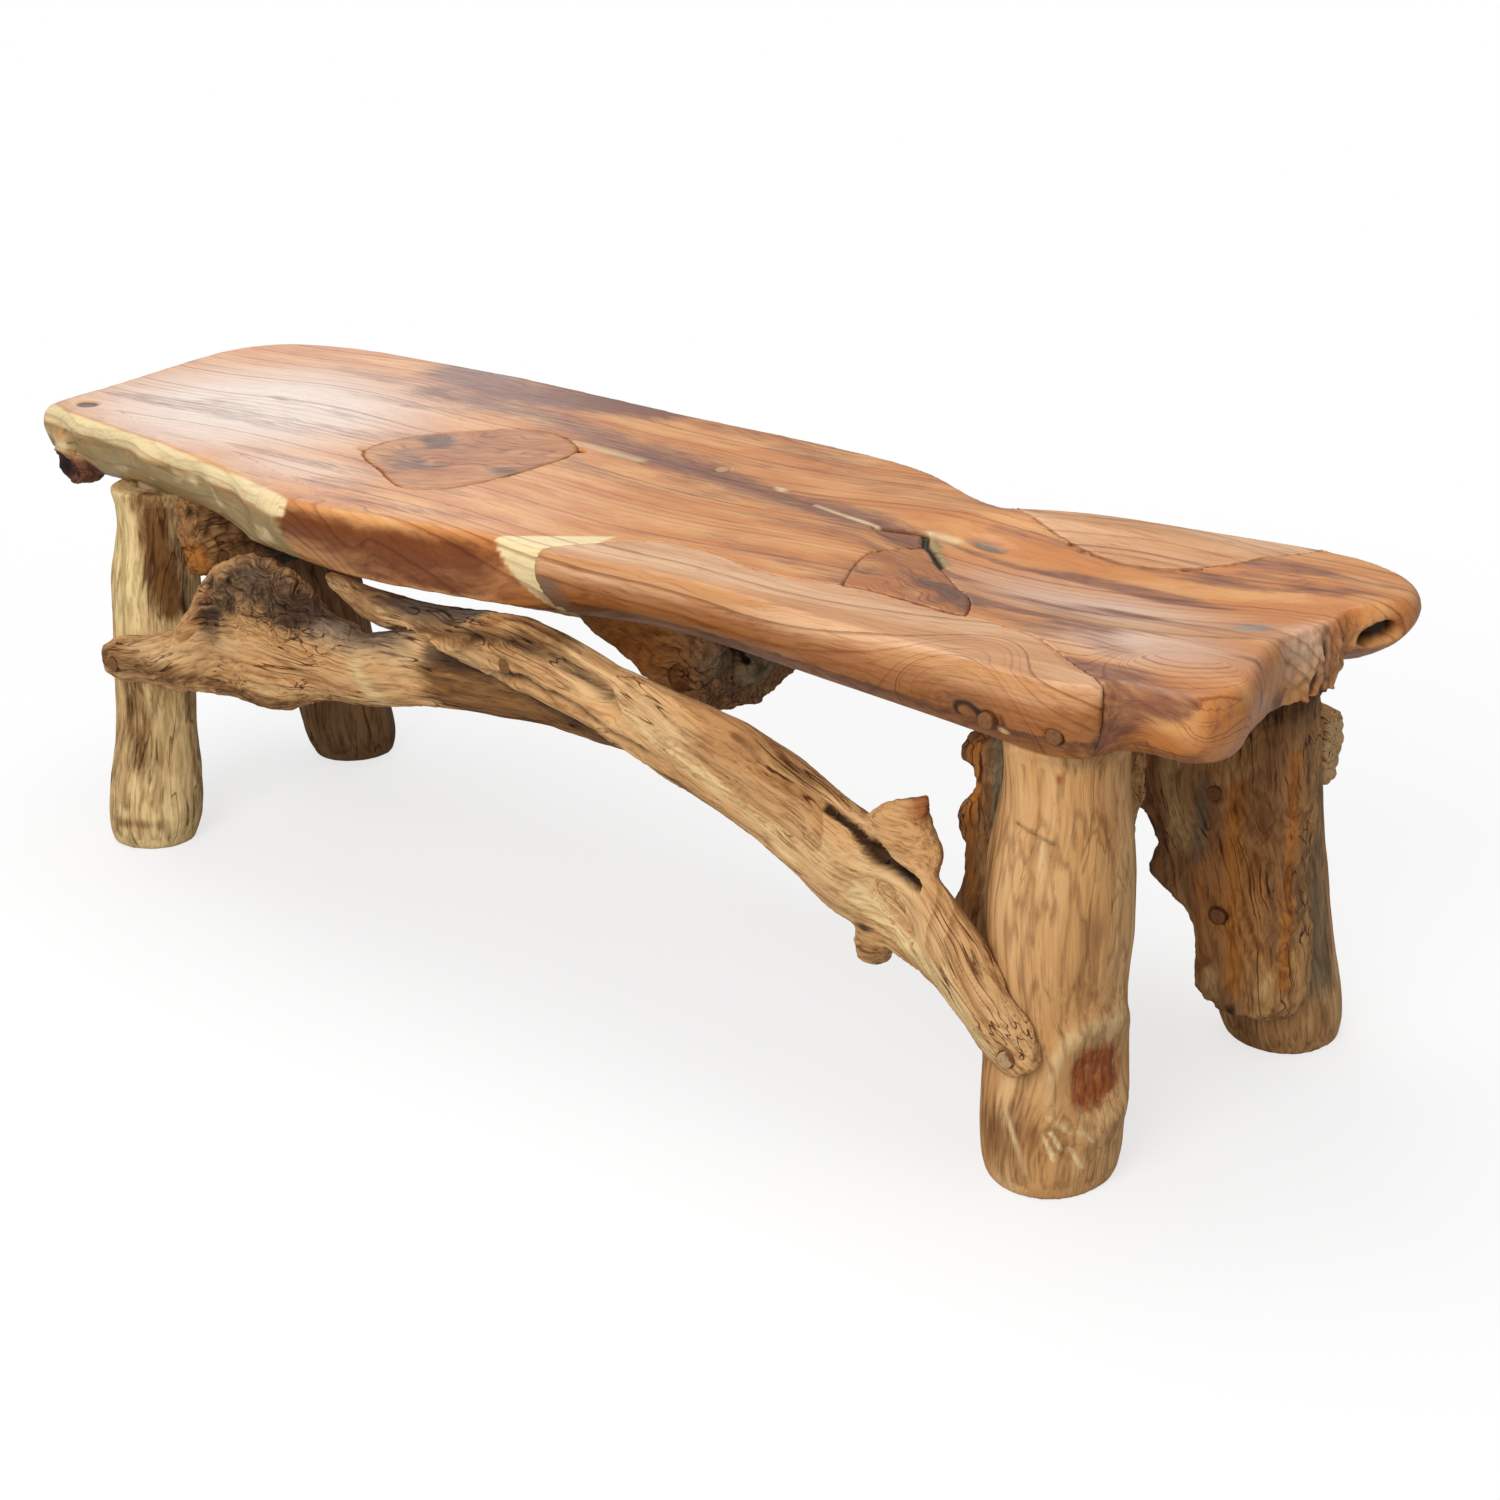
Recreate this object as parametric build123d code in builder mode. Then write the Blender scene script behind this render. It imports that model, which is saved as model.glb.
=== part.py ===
"""Rustic log bench: a live-edge teak slab on four peeled-log legs, tied by root wood.

Millimetres. X runs along the bench, Y to the back, Z up; the origin is on the
ground under the middle of the bench.
"""

from build123d import *
from collections import namedtuple
from math import cos, pi, radians, sin
import os

# ------------------------------------------------------------------ driving sizes
SEAT_LENGTH = 1450.0
SEAT_DEPTH = 500.0
SEAT_HEIGHT = 450.0
SLAB_THICKNESS = 65.0
EDGE_ROUNDING = 7.0  # how far the top edge is eased in from the widest line
DISH_DEPTH = 20.0  # hollow of the saddle-shaped right half
DISH_LENGTH = 470.0
DISH_WIDTH = 250.0
DISH_FROM_RIGHT_END = 235.0
DISH_Y = 18.0

BOARD_PROUD = 5.0  # edge boards stand this far out of the slab's own edge
INLAY_DEPTH = 18.0
GLUE_LINE = 0.15  # all-round clearance of glued pieces and dowels
SCRIBE_GAP = 0.2  # clearance of a coped joint
LAP_DEPTH = 18.0  # how far a leg beds into a stretcher

LEG_DOWEL_RADIUS = 18.0
LEG_DOWEL_LENGTH = 76.0
EDGE_DOWEL_RADIUS = 6.0
EDGE_DOWEL_LENGTH = 60.0

SCREW_RADIUS = 2.75
SCREW_HEAD_RADIUS = 5.0
SCREW_HEAD_HEIGHT = 3.5
SCREW_CLEARANCE = 0.25
PILOT_CLEARANCE = 0.05
PLUG_RADIUS = 7.0
PLUG_THICKNESS = 9.0

STRETCHER_HALF_DEPTH = 25.0
BRACE_HALF_DEPTH = 22.0
REAR_STRETCHER_HALF_DEPTH = 25.0
END_ROOT_THICKNESS = 38.0
BRACKET_THICKNESS = 42.0
PANEL_THICKNESS = 56.0
BLOCK_DEPTH = 165.0

BASE_CENTRE = (Align.CENTER, Align.CENTER, Align.MIN)
TOP_CENTRE = (Align.CENTER, Align.CENTER, Align.MAX)

UNDERSIDE = SEAT_HEIGHT - SLAB_THICKNESS
HALF_LENGTH = SEAT_LENGTH / 2
HALF_DEPTH = SEAT_DEPTH / 2

# ------------------------------------------------------------------ legs
# side: which end and edge; inset: foot centre from that end and edge; lean: top
# centre from foot centre; radii: from foot to top, evenly spaced; turn: degrees
# that the out-of-round section is turned.
Leg = namedtuple("Leg", "side inset lean radii turn")
LEGS = {
    "front_left_leg": Leg((-1, -1), (169, 96), (17, 28), (46, 44.5, 44, 45, 47), 20),
    "rear_left_leg": Leg((-1, 1), (156, 96), (6, -82), (48, 53, 52, 51, 52), 75),
    "front_right_leg": Leg((1, -1), (158, 83), (0, 0), (57, 58, 59.5, 57.5, 54.5), 140),
    "rear_right_leg": Leg((1, 1), (115, 81), (-39, -49), (54, 54, 53, 53, 52), 200),
}
FOOT_EASING = 3.0


def leg_centre(leg, height):
    """Centre of a leg at a height above the ground."""
    rise = height / UNDERSIDE
    foot_x = leg.side[0] * (HALF_LENGTH - leg.inset[0])
    foot_y = leg.side[1] * (HALF_DEPTH - leg.inset[1])
    return Vector(foot_x + leg.lean[0] * rise, foot_y + leg.lean[1] * rise, height)


def leg_radius(leg, height):
    """Radius of a leg at a height, straight between its stated radii."""
    step = height / UNDERSIDE * (len(leg.radii) - 1)
    low = min(int(step), len(leg.radii) - 2)
    return leg.radii[low] + (leg.radii[low + 1] - leg.radii[low]) * (step - low)


def log_outline(half_width, half_height, turn, points=12):
    """Points of a slightly out-of-round log section about the origin."""
    ring = []
    for step in range(points):
        angle = 2 * pi * step / points
        swell = 1 + 0.025 * cos(2 * angle + radians(turn)) + 0.02 * cos(3 * angle - radians(turn))
        ring.append((half_width * swell * cos(angle), half_height * swell * sin(angle)))
    return ring


def closed_face(plane, points, corners=()):
    """A face inside one smooth closed curve, or inside curves that meet at corners.

    Corners are numbers of points, the first of them 0.
    """
    looped = [*points, points[0]]
    with BuildSketch(plane) as outline:
        with BuildLine():
            if not corners:
                Spline(*points, periodic=True)
            for start, end in zip(corners, [*corners[1:], len(points)]):
                Spline(*looped[start : end + 1])
        make_face()
    return outline.sketch.face()


def leg_solid(leg, extra=0.0):
    """A leg log from the ground to the slab; extra makes it fatter, to scribe round it."""
    stations = [(0.0, -FOOT_EASING), (3 * FOOT_EASING, 0.0)]
    stations += [(UNDERSIDE * k / 4, 0.0) for k in range(1, 5)]
    sections = []
    for height, ease in stations:
        radius = leg_radius(leg, height) + ease + extra
        centre = leg_centre(leg, height)
        sections.append(closed_face(Plane(origin=centre), log_outline(radius, radius, leg.turn)))
    with BuildPart() as log:
        loft(sections)
    return log.part


FRONT_LEFT = LEGS["front_left_leg"]
REAR_LEFT = LEGS["rear_left_leg"]
FRONT_RIGHT = LEGS["front_right_leg"]
REAR_RIGHT = LEGS["rear_right_leg"]


# ------------------------------------------------------------------ branches
def between(start, end, share):
    """The value a share of the way from start to end."""
    return start + (end - start) * share


def face_line(left_leg, right_leg, side, share, height):
    """X and Y of the line that joins the outer faces of two legs at a height."""
    ends = []
    for leg in (left_leg, right_leg):
        centre = leg_centre(leg, height)
        ends.append((centre.X, centre.Y + side * leg_radius(leg, height)))
    return between(ends[0][0], ends[1][0], share), between(ends[0][1], ends[1][1], share)


def lapped_path(left_leg, right_leg, side, half_depth, stations):
    """Branch stations outside two legs: share of the way, stand-off, height share, sizes."""
    path = []
    for share, standoff, rise, half_height, depth_share in stations:
        height = rise * UNDERSIDE
        x, face_y = face_line(left_leg, right_leg, side, share, height)
        y = face_y + side * (half_depth - LAP_DEPTH + standoff)
        path.append((Vector(x, y, height), half_depth * depth_share, half_height))
    return path


def branch_solid(path, turn, extra=0.0):
    """A branch lofted square across its own line, with eased ends."""
    sections = []
    last = len(path) - 1
    for index, (point, half_width, half_height) in enumerate(path):
        ahead = path[min(index + 1, last)][0] - path[max(index - 1, 0)][0]
        along = ahead.normalized()
        across = Vector(0, 0, 1).cross(along).normalized()
        plane = Plane(origin=point, x_dir=across, z_dir=along)
        outline = log_outline(half_width + extra, half_height + extra, turn)
        sections.append(closed_face(plane, outline))
    with BuildPart() as branch:
        loft(sections)
    return branch.part


# ------------------------------------------------------------------ live-edge shapes
def inset_points(points, insets):
    """Move each point of a counter-clockwise outline inwards by its own inset."""
    moved = []
    count = len(points)
    for index, (point, inset) in enumerate(zip(points, insets)):
        before = Vector(*points[index - 1])
        after = Vector(*points[(index + 1) % count])
        along = (after - before).normalized()
        moved.append((point[0] - along.Y * inset, point[1] + along.X * inset))
    return moved


def weathered_slab(plane, points, thickness, insets_by_level, corners=()):
    """Loft one outline through a thickness, each level drawn in by its own insets."""
    sections = []
    for share, insets in insets_by_level:
        level = plane.offset(thickness * share)
        sections.append(closed_face(level, inset_points(points, insets), corners))
    with BuildPart() as slab:
        loft(sections)
    return slab.part


def eased_slab(plane, points, thickness, easing):
    """A root slab of one thickness whose two faces are eased in all round."""
    count = len(points)
    levels = ((0.0, easing), (0.2, 0.0), (0.8, 0.0), (1.0, easing))
    return weathered_slab(plane, points, thickness, [(k, [e] * count) for k, e in levels])


def sideways(line, gap):
    """Move each point of an open line to its right by a gap."""
    moved = []
    last = len(line) - 1
    for index, point in enumerate(line):
        before = Vector(*line[max(index - 1, 0)])
        after = Vector(*line[min(index + 1, last)])
        along = (after - before).normalized()
        moved.append((point[0] + along.Y * gap, point[1] - along.X * gap))
    return moved


def sawn_zone(line, closing, top):
    """An upright block from the ground up, beyond a curved saw line."""
    with BuildPart() as zone:
        with BuildSketch(Plane.XY):
            with BuildLine():
                curve = Spline(*line)
                Polyline(curve @ 1, *closing, curve @ 0)
            make_face()
        extrude(amount=top)
    return zone.part


def on_seat(shares):
    """Seat points from shares of half the length and half the depth."""
    return [(u * HALF_LENGTH, v * HALF_DEPTH) for u, v in shares]


# Seat outline, counter-clockwise: shares of half the length and of half the depth,
# and how far the bark side is cut under at the bottom of the slab in millimetres.
SEAT_OUTLINE = [
    (-0.941, -0.600, 22), (-0.814, -0.668, 30), (-0.699, -0.716, 38), (-0.571, -0.780, 34),
    (-0.432, -0.888, 16), (-0.300, -0.988, 26), (-0.185, -0.968, 14), (-0.069, -0.904, 8),
    (0.034, -0.872, 14), (0.113, -0.880, 36), (0.190, -0.852, 46), (0.330, -0.834, 40),
    (0.481, -0.876, 34), (0.622, -0.914, 28), (0.755, -0.948, 20), (0.842, -0.940, 20),
    (0.876, -0.850, 30), (0.912, -0.836, 28), (0.965, -0.818, 24), (0.986, -0.700, 16),
    (0.970, -0.464, 10), (0.950, -0.260, 8), (0.940, -0.084, 2), (0.953, 0.080, 0),
    (0.952, 0.220, 8), (0.976, 0.270, 55), (1.000, 0.400, 55), (0.990, 0.540, 55),
    (0.957, 0.650, 55), (0.900, 0.738, 20), (0.804, 0.756, 16), (0.677, 0.724, 16),
    (0.546, 0.680, 14), (0.479, 0.612, 12), (0.440, 0.540, 12), (0.386, 0.596, 12),
    (0.294, 0.752, 14), (0.180, 0.844, 14), (-0.010, 0.892, 14), (-0.220, 0.932, 16),
    (-0.480, 0.988, 16), (-0.700, 0.996, 18), (-0.866, 0.960, 20), (-0.960, 0.850, 22),
    (-1.000, 0.640, 18), (-0.999, 0.360, 16), (-0.984, 0.060, 16), (-0.966, -0.260, 18),
    (-0.957, -0.480, 24),
]
SEAT_CORNERS = (0, 4, 9, 16, 24, 34, 43)  # points where the edge turns sharply


def seat_blank(grow=0.0):
    """The whole seat before the boards and inlays are sawn out of it, dished on top."""
    points = on_seat([(u, v) for u, v, undercut in SEAT_OUTLINE])
    undercuts = [undercut for u, v, undercut in SEAT_OUTLINE]
    levels = [
        (0.0, [cut - grow for cut in undercuts]),
        (0.35, [0.3 * cut - grow for cut in undercuts]),
        (0.75, [-grow for cut in undercuts]),
        (1.0, [EDGE_ROUNDING - grow for cut in undercuts]),
    ]
    base = Plane.XY.offset(UNDERSIDE)
    with BuildPart() as blank:
        add(weathered_slab(base, points, SLAB_THICKNESS, levels, SEAT_CORNERS))
        add(dish_cutter(), mode=Mode.SUBTRACT)
    return blank.part


def dish_cutter():
    """A long barrel shape that scoops the saddle out of the top of the seat."""
    half_length = DISH_LENGTH / 2
    half_width = DISH_WIDTH / 2
    barrel_radius = (half_width**2 + DISH_DEPTH**2) / (2 * DISH_DEPTH)
    middle = Vector(HALF_LENGTH - DISH_FROM_RIGHT_END, DISH_Y, SEAT_HEIGHT)
    axis_height = SEAT_HEIGHT - DISH_DEPTH + barrel_radius
    with BuildPart() as barrel:
        with BuildSketch(Plane(origin=middle, x_dir=(1, 0, 0), z_dir=(0, -1, 0))):
            with BuildLine():
                bottom = ThreePointArc((-half_length, 0), (0, -DISH_DEPTH), (half_length, 0))
                top = barrel_radius - DISH_DEPTH
                Polyline(bottom @ 1, (half_length, top), (-half_length, top), bottom @ 0)
            make_face()
        revolve(axis=Axis((middle.X, middle.Y, axis_height), (1, 0, 0)))
    return barrel.part


# Saw lines of the edge boards and outlines of the two inlaid patches, in seat shares.
FRONT_BOARD_LINE = on_seat([
    (0.104, -1.100), (0.106, -0.800), (0.138, -0.680), (0.190, -0.552), (0.290, -0.556),
    (0.386, -0.612), (0.470, -0.564), (0.612, -0.592), (0.731, -0.630), (0.800, -0.760),
    (0.869, -0.900), (0.885, -1.100),
])
REAR_BOARD_LINE = on_seat([
    (0.446, 1.100), (0.450, 0.545), (0.500, 0.470), (0.590, 0.372), (0.652, 0.348),
    (0.739, 0.424), (0.822, 0.644), (0.826, 1.100),
])
INLAY_OUTLINE = on_seat([
    (-0.304, -0.472), (-0.240, -0.580), (-0.206, -0.596), (-0.178, -0.528), (-0.152, -0.280),
    (-0.149, 0.040), (-0.163, 0.200), (-0.206, 0.296), (-0.262, 0.340), (-0.300, 0.316),
    (-0.341, 0.196), (-0.381, 0.032), (-0.397, -0.120), (-0.392, -0.300),
])
ROUND_PATCH_OUTLINE = on_seat([
    (0.550, -0.680), (0.632, -0.600), (0.610, -0.460), (0.568, -0.332), (0.520, -0.190),
    (0.470, -0.060), (0.436, 0.020), (0.419, -0.076), (0.414, -0.192), (0.429, -0.360),
    (0.446, -0.472), (0.470, -0.610),
])
FRONT_CLOSING = on_seat([(0.885, -1.300), (0.104, -1.300)])
REAR_CLOSING = on_seat([(0.826, 1.300), (0.446, 1.300)])


def front_board_zone(gap=0.0):
    """Everything in front of the front board's saw line, less a glue gap."""
    return sawn_zone(sideways(FRONT_BOARD_LINE, gap), FRONT_CLOSING, 2 * SEAT_HEIGHT)


def rear_board_zone(gap=0.0):
    """Everything behind the rear board's saw line, less a glue gap."""
    return sawn_zone(sideways(REAR_BOARD_LINE, -gap), REAR_CLOSING, 2 * SEAT_HEIGHT)


def inlay_zone(outline, gap=0.0):
    """The pocket of an inlaid patch from its floor up, less a glue gap all round."""
    floor = SEAT_HEIGHT - DISH_DEPTH - INLAY_DEPTH + gap
    points = inset_points(outline, [gap] * len(outline))
    pocket = closed_face(Plane.XY.offset(floor), points)
    with BuildPart() as zone:
        extrude(pocket, amount=SEAT_HEIGHT)
    return zone.part


# ------------------------------------------------------------------ branch lines
# Each station: share of the way between the leg centres, stand-off from the legs'
# outer faces, height as a share of the clear height, half height, depth share.
STRETCHER_STATIONS = [
    (0.001, 0, 0.553, 19, 0.8), (0.008, 0, 0.557, 23, 0.95), (0.020, 0, 0.563, 25, 1.0),
    (0.070, 0, 0.589, 29, 1.0), (0.125, 0, 0.618, 32, 1.0), (0.180, 0, 0.634, 31, 1.0),
    (0.265, -4, 0.688, 32, 1.0), (0.350, -12, 0.741, 38, 1.0), (0.430, -22, 0.786, 41, 0.9),
    (0.510, -30, 0.804, 43, 0.8), (0.575, -33, 0.788, 37, 0.7), (0.625, -35, 0.762, 25, 0.6),
    (0.648, -36, 0.750, 13, 0.4),
]
BRACE_STATIONS = [
    (0.262, -26, 0.915, 7, 0.35), (0.290, -24, 0.893, 13, 0.5), (0.335, -20, 0.880, 18, 0.6),
    (0.385, -14, 0.880, 21, 0.7), (0.440, -6, 0.888, 25, 0.85), (0.520, 4, 0.902, 33, 1.0),
    (0.595, 8, 0.876, 33, 1.0), (0.660, 10, 0.838, 38, 1.0), (0.730, 8, 0.792, 43, 1.0),
    (0.800, 6, 0.735, 46, 1.0), (0.855, 4, 0.655, 48, 1.0), (0.905, 2, 0.598, 46, 1.0),
    (0.950, 0, 0.500, 34, 1.0), (0.985, 0, 0.403, 28, 1.0), (1.003, 0, 0.345, 25, 0.85),
    (1.013, 0, 0.308, 17, 0.6),
]
REAR_STRETCHER_STATIONS = [
    (-0.035, 0, 0.660, 20, 0.7), (-0.020, 0, 0.662, 26, 1.0), (0.150, -4, 0.655, 30, 1.0),
    (0.350, 2, 0.672, 34, 1.0), (0.550, 4, 0.690, 34, 1.0), (0.750, 0, 0.706, 36, 1.0),
    (0.930, 0, 0.706, 39, 1.0), (1.014, 0, 0.702, 41, 1.0), (1.038, 0, 0.700, 36, 0.75),
]


def stretcher_path():
    return lapped_path(
        FRONT_LEFT, FRONT_RIGHT, -1, STRETCHER_HALF_DEPTH, STRETCHER_STATIONS
    )


def brace_path():
    return lapped_path(FRONT_LEFT, FRONT_RIGHT, -1, BRACE_HALF_DEPTH, BRACE_STATIONS)


def rear_stretcher_path():
    return lapped_path(
        REAR_LEFT, REAR_RIGHT, 1, REAR_STRETCHER_HALF_DEPTH, REAR_STRETCHER_STATIONS
    )


def stretcher_log(extra=0.0):
    """The stretcher's log without its burl; extra makes it fatter, to scribe round it."""
    return branch_solid(stretcher_path(), 30, extra)


def stretcher_burl(extra=0.0):
    """The burl on the stretcher; extra makes it fatter, to scribe round it."""
    stations = BURL_STATIONS
    path = lapped_path(FRONT_LEFT, FRONT_RIGHT, -1, STRETCHER_HALF_DEPTH, stations)
    return branch_solid(path, 15, extra)


# ------------------------------------------------------------------ root wood outlines
# Burl that swells out of the front stretcher, and its root tail: stations as for branches.
BURL_STATIONS = [
    (0.080, 0, 0.628, 10, 0.5), (0.110, 0, 0.662, 24, 0.95), (0.140, 0, 0.708, 41, 1.15),
    (0.170, 0, 0.755, 57, 1.25), (0.200, 0, 0.788, 63, 1.3), (0.230, 0, 0.793, 60, 1.25),
    (0.260, 0, 0.776, 43, 1.2), (0.290, -4, 0.765, 30, 1.1), (0.320, -6, 0.758, 16, 0.8),
]
TAIL_STATIONS = [
    (0.180, -2, 0.860, 10, 0.5), (0.140, 2, 0.790, 11, 0.5), (0.110, 3, 0.710, 10, 0.5),
    (0.082, 0, 0.650, 8, 0.45),
]

# Roots behind the front right leg and before the rear right leg: X from the leg's
# centre in millimetres, height as a share of the clear height.
BRACKET_OUTLINE = [
    (-127, 0.430), (-122, 0.340), (-100, 0.275), (-60, 0.262), (-20, 0.300), (5, 0.420),
    (15, 0.600), (28, 0.800), (30, 0.950), (30, 1.060), (-20, 1.080), (-58, 1.020),
    (-80, 0.920), (-104, 0.885), (-122, 0.862), (-127, 0.835), (-121, 0.806), (-110, 0.780),
    (-114, 0.745), (-128, 0.700), (-131, 0.665), (-123, 0.610), (-121, 0.560), (-127, 0.490),
]
PANEL_OUTLINE = [
    (-30, 0.250), (-26, 0.185), (-8, 0.154), (14, 0.150), (36, 0.158), (58, 0.195),
    (65, 0.280), (67, 0.420), (70, 0.600), (76, 0.800), (82, 0.960), (60, 1.080),
    (-20, 1.100), (-90, 1.060), (-112, 0.930), (-104, 0.760), (-106, 0.680), (-86, 0.610),
    (-68, 0.555), (-65, 0.500), (-69, 0.440), (-54, 0.398), (-38, 0.378), (-30, 0.320),
]
BRACKET_EASING = 6.0
PANEL_EASING = 8.0

# Root block under the middle of the seat: shares of the way between the front legs
# and of the clear height, counter-clockwise seen from the front.
BLOCK_OUTLINE = [
    (0.440, 0.860), (0.470, 0.800), (0.512, 0.750), (0.545, 0.700), (0.572, 0.668),
    (0.596, 0.672), (0.608, 0.735), (0.607, 0.830), (0.604, 0.950), (0.588, 1.060),
    (0.530, 1.080), (0.450, 1.060), (0.424, 0.950),
]
BLOCK_FRONT_SHARE = -0.248  # front face, as a share of half the seat depth
BLOCK_EASING = 12.0
BLOCK_HOLLOWS = ((0.596, 0.10, 0.830, 22), (0.610, 0.35, 0.780, 20), (0.575, 0.04, 0.760, 13))

# Root at the left end, standing across X between the left legs: shares of the way
# from the front leg's centre to the rear one's, and of the clear height.
END_ROOT_OUTLINE = [
    (0.000, 0.850), (0.200, 0.790), (0.450, 0.760), (0.700, 0.780), (0.900, 0.840),
    (0.960, 0.940), (0.880, 1.060), (0.400, 1.090), (0.040, 1.060), (-0.060, 0.950),
]
END_ROOT_EASING = 7.0
END_ROOT_LAP = 13.0
RAIL_STATIONS = [
    (0.000, 0.818, 18), (0.030, 0.820, 23), (0.120, 0.826, 24), (0.400, 0.820, 25),
    (0.700, 0.812, 26), (0.950, 0.805, 25), (1.140, 0.800, 24), (1.170, 0.799, 19),
]


def front_elevation(shares, left_leg, right_leg):
    """X and Z points from shares of the way between two legs and of the clear height."""
    points = []
    for share, rise in shares:
        height = rise * UNDERSIDE
        left = leg_centre(left_leg, height).X
        right = leg_centre(right_leg, height).X
        points.append((between(left, right, share), height))
    return points


def beside_leg(leg, outline):
    """X and Z points of an outline measured from a leg's centre."""
    points = []
    for offset_x, rise in outline:
        height = rise * UNDERSIDE
        points.append((leg_centre(leg, height).X + offset_x, height))
    return points


def upright_root(points, front_y, thickness, easing):
    """Root wood standing across Y, from its front face back, trimmed under the seat."""
    front = Plane(origin=(0, front_y, 0), x_dir=(1, 0, 0), z_dir=(0, -1, 0))
    with BuildPart() as root:
        add(eased_slab(front.offset(-thickness), points, thickness, easing))
        split(bisect_by=Plane.XY.offset(UNDERSIDE - SCRIBE_GAP), keep=Keep.BOTTOM)
    return root.part


def end_face_x():
    """X of the outer face of the left end root, bedded on the front leg."""
    top = leg_centre(FRONT_LEFT, UNDERSIDE)
    return top.X + leg_radius(FRONT_LEFT, UNDERSIDE) - END_ROOT_LAP


def end_elevation(shares):
    """Y and Z points from shares of the way between the left legs and of the height."""
    points = []
    for share, rise in shares:
        height = rise * UNDERSIDE
        front = leg_centre(FRONT_LEFT, height).Y
        back = leg_centre(REAR_LEFT, height).Y
        points.append((between(front, back, share), height))
    return points


def rail_log():
    """The round branch that grows along the foot of the left end root."""
    middle_x = end_face_x() + END_ROOT_THICKNESS / 2
    path = []
    for share, rise, radius in RAIL_STATIONS:
        y, height = end_elevation([(share, rise)])[0]
        path.append((Vector(middle_x, y, height), radius, radius))
    return branch_solid(path, 50)


# ------------------------------------------------------------------ screws and dowels
# A screw is placed by the outer end of its plug; +Z of its place points out of the wood.
Screw = namedtuple("Screw", "place length")
SCREW_SEAT = PLUG_THICKNESS + SCREW_HEAD_HEIGHT
FRAME_SCREW_LENGTH = 70.0
THIN_SCREW_LENGTH = 48.0
SLAB_SCREW_LENGTH = 110.0
BOARD_SCREW_BITE = 28.0  # length in the slab, behind the saw line
BOARD_SCREW_SPACE = 8.0  # wood left between the screw and the leg dowel
SCREW_TIP = 8.0

FRONT = (0, -1, 0)
BACK = (0, 1, 0)
UP = (0, 0, 1)
RIGHT = (1, 0, 0)

stretcher_line = stretcher_path()
brace_line = brace_path()
rear_line = rear_stretcher_path()


def screw_at(point, outwards, length):
    """A plugged screw whose plug ends at a point."""
    return Screw(Location(Plane(origin=point, z_dir=outwards)), length)


def screw_through(line, index, side, rise, length):
    """A screw square through a branch at one of its stations, from its front or back."""
    point, half_width, half_height = line[index]
    face = point + Vector(0, side * half_width, rise)
    return screw_at(face, (0, side, 0), length)


def seat_point(shares, height):
    """A point over or on the seat from shares of half its length and depth."""
    x, y = on_seat([shares])[0]
    return Vector(x, y, height)


PANEL_SEAT_SHARE = 0.5  # of the clear height, where panel and bracket bed on their legs


def panel_front_y():
    """Y of the front of the root panel, bedded on the rear right leg near its top."""
    height = PANEL_SEAT_SHARE * UNDERSIDE
    leg_front = leg_centre(REAR_RIGHT, height).Y - leg_radius(REAR_RIGHT, height)
    return leg_front + LAP_DEPTH - PANEL_THICKNESS


def bracket_front_y():
    """Y of the front of the root bracket, bedded on the back of the front right leg."""
    height = PANEL_SEAT_SHARE * UNDERSIDE
    leg_back = leg_centre(FRONT_RIGHT, height).Y + leg_radius(FRONT_RIGHT, height)
    return leg_back - LAP_DEPTH


PANEL_SCREW_HEIGHTS = (0.39, 0.68)  # shares of the clear height
BRACKET_SCREW_HEIGHT = 0.62
END_SCREW_SHARES = (0.10, 1.0)
END_SCREW_HEIGHT = 0.82
BLOCK_SCREW_PLACE = (0.051, 0.316)  # shares of half the length and depth
BOARD_SCREW_SIDES = ((-1, -0.965), (1, -0.950))  # side of the leg dowel, share of half the depth
BOARD_SCREW_HEIGHT = UNDERSIDE + 22.0

stretcher_to_leg = screw_through(stretcher_line, 2, -1, 0, FRAME_SCREW_LENGTH)
brace_to_leg = screw_through(brace_line, 14, -1, 0, FRAME_SCREW_LENGTH)
brace_to_stretcher = screw_through(brace_line, 5, -1, -8, THIN_SCREW_LENGTH)
rear_to_left_leg = screw_through(rear_line, 1, 1, 0, FRAME_SCREW_LENGTH)
rear_to_right_leg = screw_through(rear_line, 6, 1, 0, FRAME_SCREW_LENGTH)
panel_to_leg = []
for rise in PANEL_SCREW_HEIGHTS:
    spot = leg_centre(REAR_RIGHT, rise * UNDERSIDE)
    face = Vector(spot.X, panel_front_y(), spot.Z)
    panel_to_leg.append(screw_at(face, FRONT, FRAME_SCREW_LENGTH))
bracket_spot = leg_centre(FRONT_RIGHT, BRACKET_SCREW_HEIGHT * UNDERSIDE)
bracket_back = Vector(bracket_spot.X, bracket_front_y() + BRACKET_THICKNESS, bracket_spot.Z)
bracket_to_leg = screw_at(bracket_back, BACK, FRAME_SCREW_LENGTH)
end_root_to_legs = []
for share in END_SCREW_SHARES:
    y, height = end_elevation([(share, END_SCREW_HEIGHT)])[0]
    face_x = end_face_x() + END_ROOT_THICKNESS / 2 + RAIL_STATIONS[2][2]
    end_root_to_legs.append(screw_at(Vector(face_x, y, height), RIGHT, FRAME_SCREW_LENGTH))
slab_to_block = screw_at(seat_point(BLOCK_SCREW_PLACE, SEAT_HEIGHT), UP, SLAB_SCREW_LENGTH)

FRAME_SCREWS = [
    stretcher_to_leg, brace_to_leg, brace_to_stretcher, rear_to_left_leg,
    rear_to_right_leg, *panel_to_leg, bracket_to_leg, *end_root_to_legs,
]

EDGE_DOWEL_HEIGHT = UNDERSIDE + 16.0
FRONT_DOWEL_SHARES = (0.20, 0.40, 0.62)  # of half the seat length
REAR_DOWEL_SHARES = (0.55, 0.70)


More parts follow.
